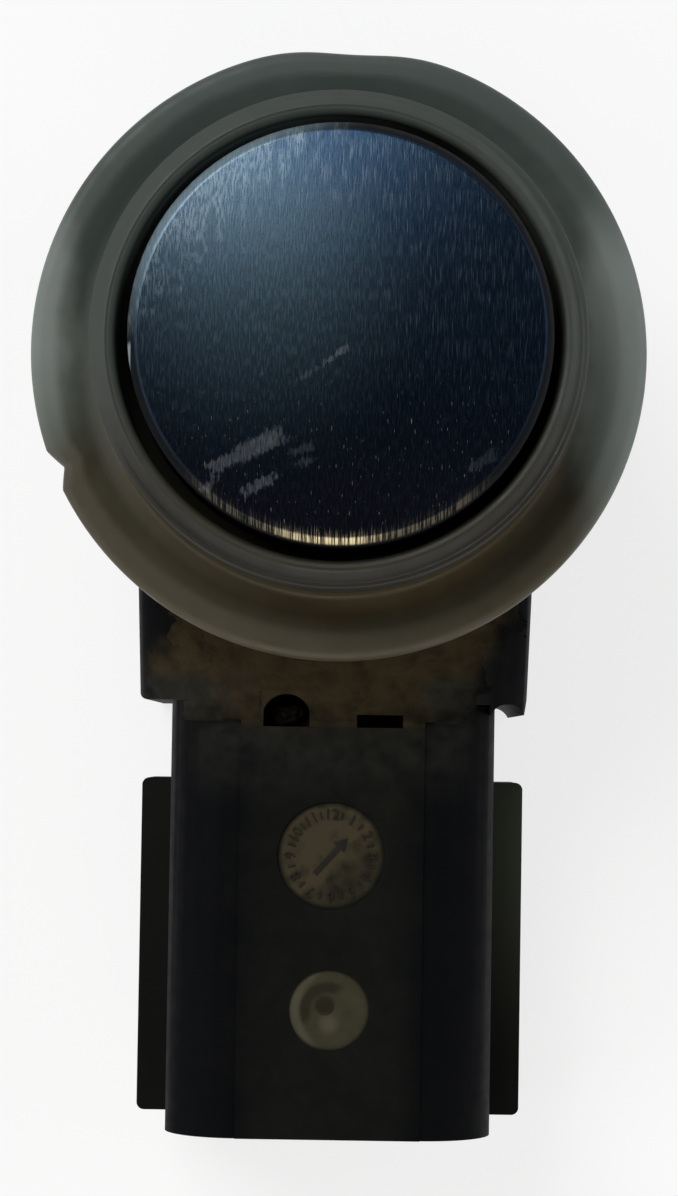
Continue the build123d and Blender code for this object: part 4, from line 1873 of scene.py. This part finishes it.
@dataclass
class Studio:
    """Pale floor, soft lamps, world and camera."""

    lamps: tuple[Lamp, ...] = (
        Lamp("key", (-225.0, 270.0, 520.0), 300.0, 8.0),
        Lamp("fill_right", (460.0, 100.0, 360.0), 300.0, 2.2, (0.86, 0.93, 1.0)),
        Lamp("fill_left", (-480.0, -120.0, 320.0), 300.0, 2.2, (0.95, 0.98, 1.0)),
        Lamp("warm_low", (0.0, -500.0, 250.0), 500.0, 1.5, (1.0, 0.9, 0.74)),
    )
    lamp_target: Triple = (0.0, -5.0, 15.0)
    camera_place: Triple = (0.152, -15.083, 143.439)
    camera_pitch: float = 2.6
    camera_roll: float = 0.9
    lens: float = 98.8
    sensor: float = 36.0
    near_limit: float = 5.0
    floor_half_width: float = 1500.0
    floor_gap: float = 0.02
    floor_tone: Colour = (0.94, 0.94, 0.94, 1.0)
    flag_height: float = 620.0
    flag_half_width: float = 500.0
    flag_tone: Colour = (0.02, 0.02, 0.022, 1.0)
    ambient: float = 0.3
    ambient_tone: Colour = (0.96, 0.98, 1.0, 1.0)
    white: Colour = (1.0, 1.0, 1.0, 1.0)
    white_share: float = 0.75
    shadow_reach: float = 120.0

    def panel(self, name: str, half_width: float, height: float,
              material: bpy.types.Material) -> None:
        """Makes a flat square panel that belongs to the stage.

        Args:
            name: Name of the panel.
            half_width: Half its side.
            height: Its height over the rear face of the sensor.
            material: Its material.
        """
        corners = [(x * half_width * MM, y * half_width * MM, height * MM)
                   for x, y in ((-1, -1), (1, -1), (1, 1), (-1, 1))]
        mesh = bpy.data.meshes.new(name)
        mesh.from_pydata(corners, [], [(0, 1, 2, 3)])
        mesh.materials.append(material)
        link(name, mesh)

    def blend(self, tree: Tree, share: Value, first: bpy.types.Node, second: bpy.types.Node,
              end: str) -> None:
        """Ends a tree in a blend of two shaders.

        Args:
            tree: Tree of a material or of the world.
            share: Share of the second shader.
            first: Shader that is used where the share is 0.
            second: Shader that is used where it is 1.
            end: Type of the output node.
        """
        mixed = tree.add("ShaderNodeMixShader", {0: share, 1: first.outputs[0],
                                                 2: second.outputs[0]})
        tree.add(end, {"Surface": mixed.outputs[0]})

    def build_floor(self) -> None:
        """Lays the floor: pale, white to the camera, and shaded where the sensor lies."""
        graph = Graph("pale_floor")
        matte = graph.add("ShaderNodeBsdfDiffuse", {"Color": self.floor_tone})
        bright = graph.add("ShaderNodeEmission")
        distance = graph.add("ShaderNodeVectorMath", {0: graph.place}, operation="LENGTH")
        away = Value(graph, distance.outputs["Value"]).fade(self.shadow_reach / 3,
                                                            self.shadow_reach)
        share = away * (1.0 - self.white_share) + self.white_share
        self.blend(graph, graph.seen_directly() * share, matte, bright,
                   "ShaderNodeOutputMaterial")
        self.panel("floor", self.floor_half_width, -self.floor_gap, graph.material)

    def build_flag(self) -> None:
        """Hangs the dark panel that keeps white light out of the upward faces."""
        graph = Graph("dark_cloth")
        cloth = graph.add("ShaderNodeBsdfPrincipled", {"Base Color": self.flag_tone,
                                                       "Roughness": 1.0})
        graph.add("ShaderNodeOutputMaterial", {"Surface": cloth.outputs["BSDF"]})
        self.panel("overhead_flag", self.flag_half_width, self.flag_height, graph.material)

    def build_world(self) -> None:
        """Makes the world: white where it is seen, and dim where it only lights the sensor."""
        world = bpy.data.worlds.new("studio")
        world.use_nodes = True
        tree = Tree(world.node_tree)
        dim = tree.add("ShaderNodeBackground", {"Color": self.ambient_tone,
                                                "Strength": self.ambient})
        white = tree.add("ShaderNodeBackground", {"Color": self.white})
        self.blend(tree, tree.seen_directly(), dim, white, "ShaderNodeOutputWorld")
        bpy.context.scene.world = world

    def build_camera(self) -> None:
        """Places the camera above the membrane, tilted and rolled as the portrait needs."""
        data = bpy.data.cameras.new("portrait")
        data.lens = self.lens
        data.sensor_width = self.sensor
        data.clip_start = self.near_limit * MM
        camera = link("portrait", data)
        place = Matrix.Translation(Vector(self.camera_place) * MM)
        tilt = Matrix.Rotation(radians(self.camera_pitch), 4, "X")
        roll = Matrix.Rotation(radians(self.camera_roll), 4, "Z")
        camera.matrix_world = place @ tilt @ roll
        bpy.context.scene.camera = camera

    def build(self) -> None:
        """Builds the whole studio."""
        self.build_floor()
        self.build_flag()
        self.build_world()
        self.build_camera()
        for lamp in self.lamps:
            lamp.build(Vector(self.lamp_target))
        bpy.context.scene.view_settings.view_transform = "Standard"


def main() -> None:
    """Builds the scene around the frame."""
    logging.basicConfig(level=logging.INFO, format="%(name)s %(message)s")
    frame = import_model()
    Nose().build(frame)
    Body().build(frame)
    Inside().build(frame)
    Studio().build()


if __name__ == "__main__":
    main()
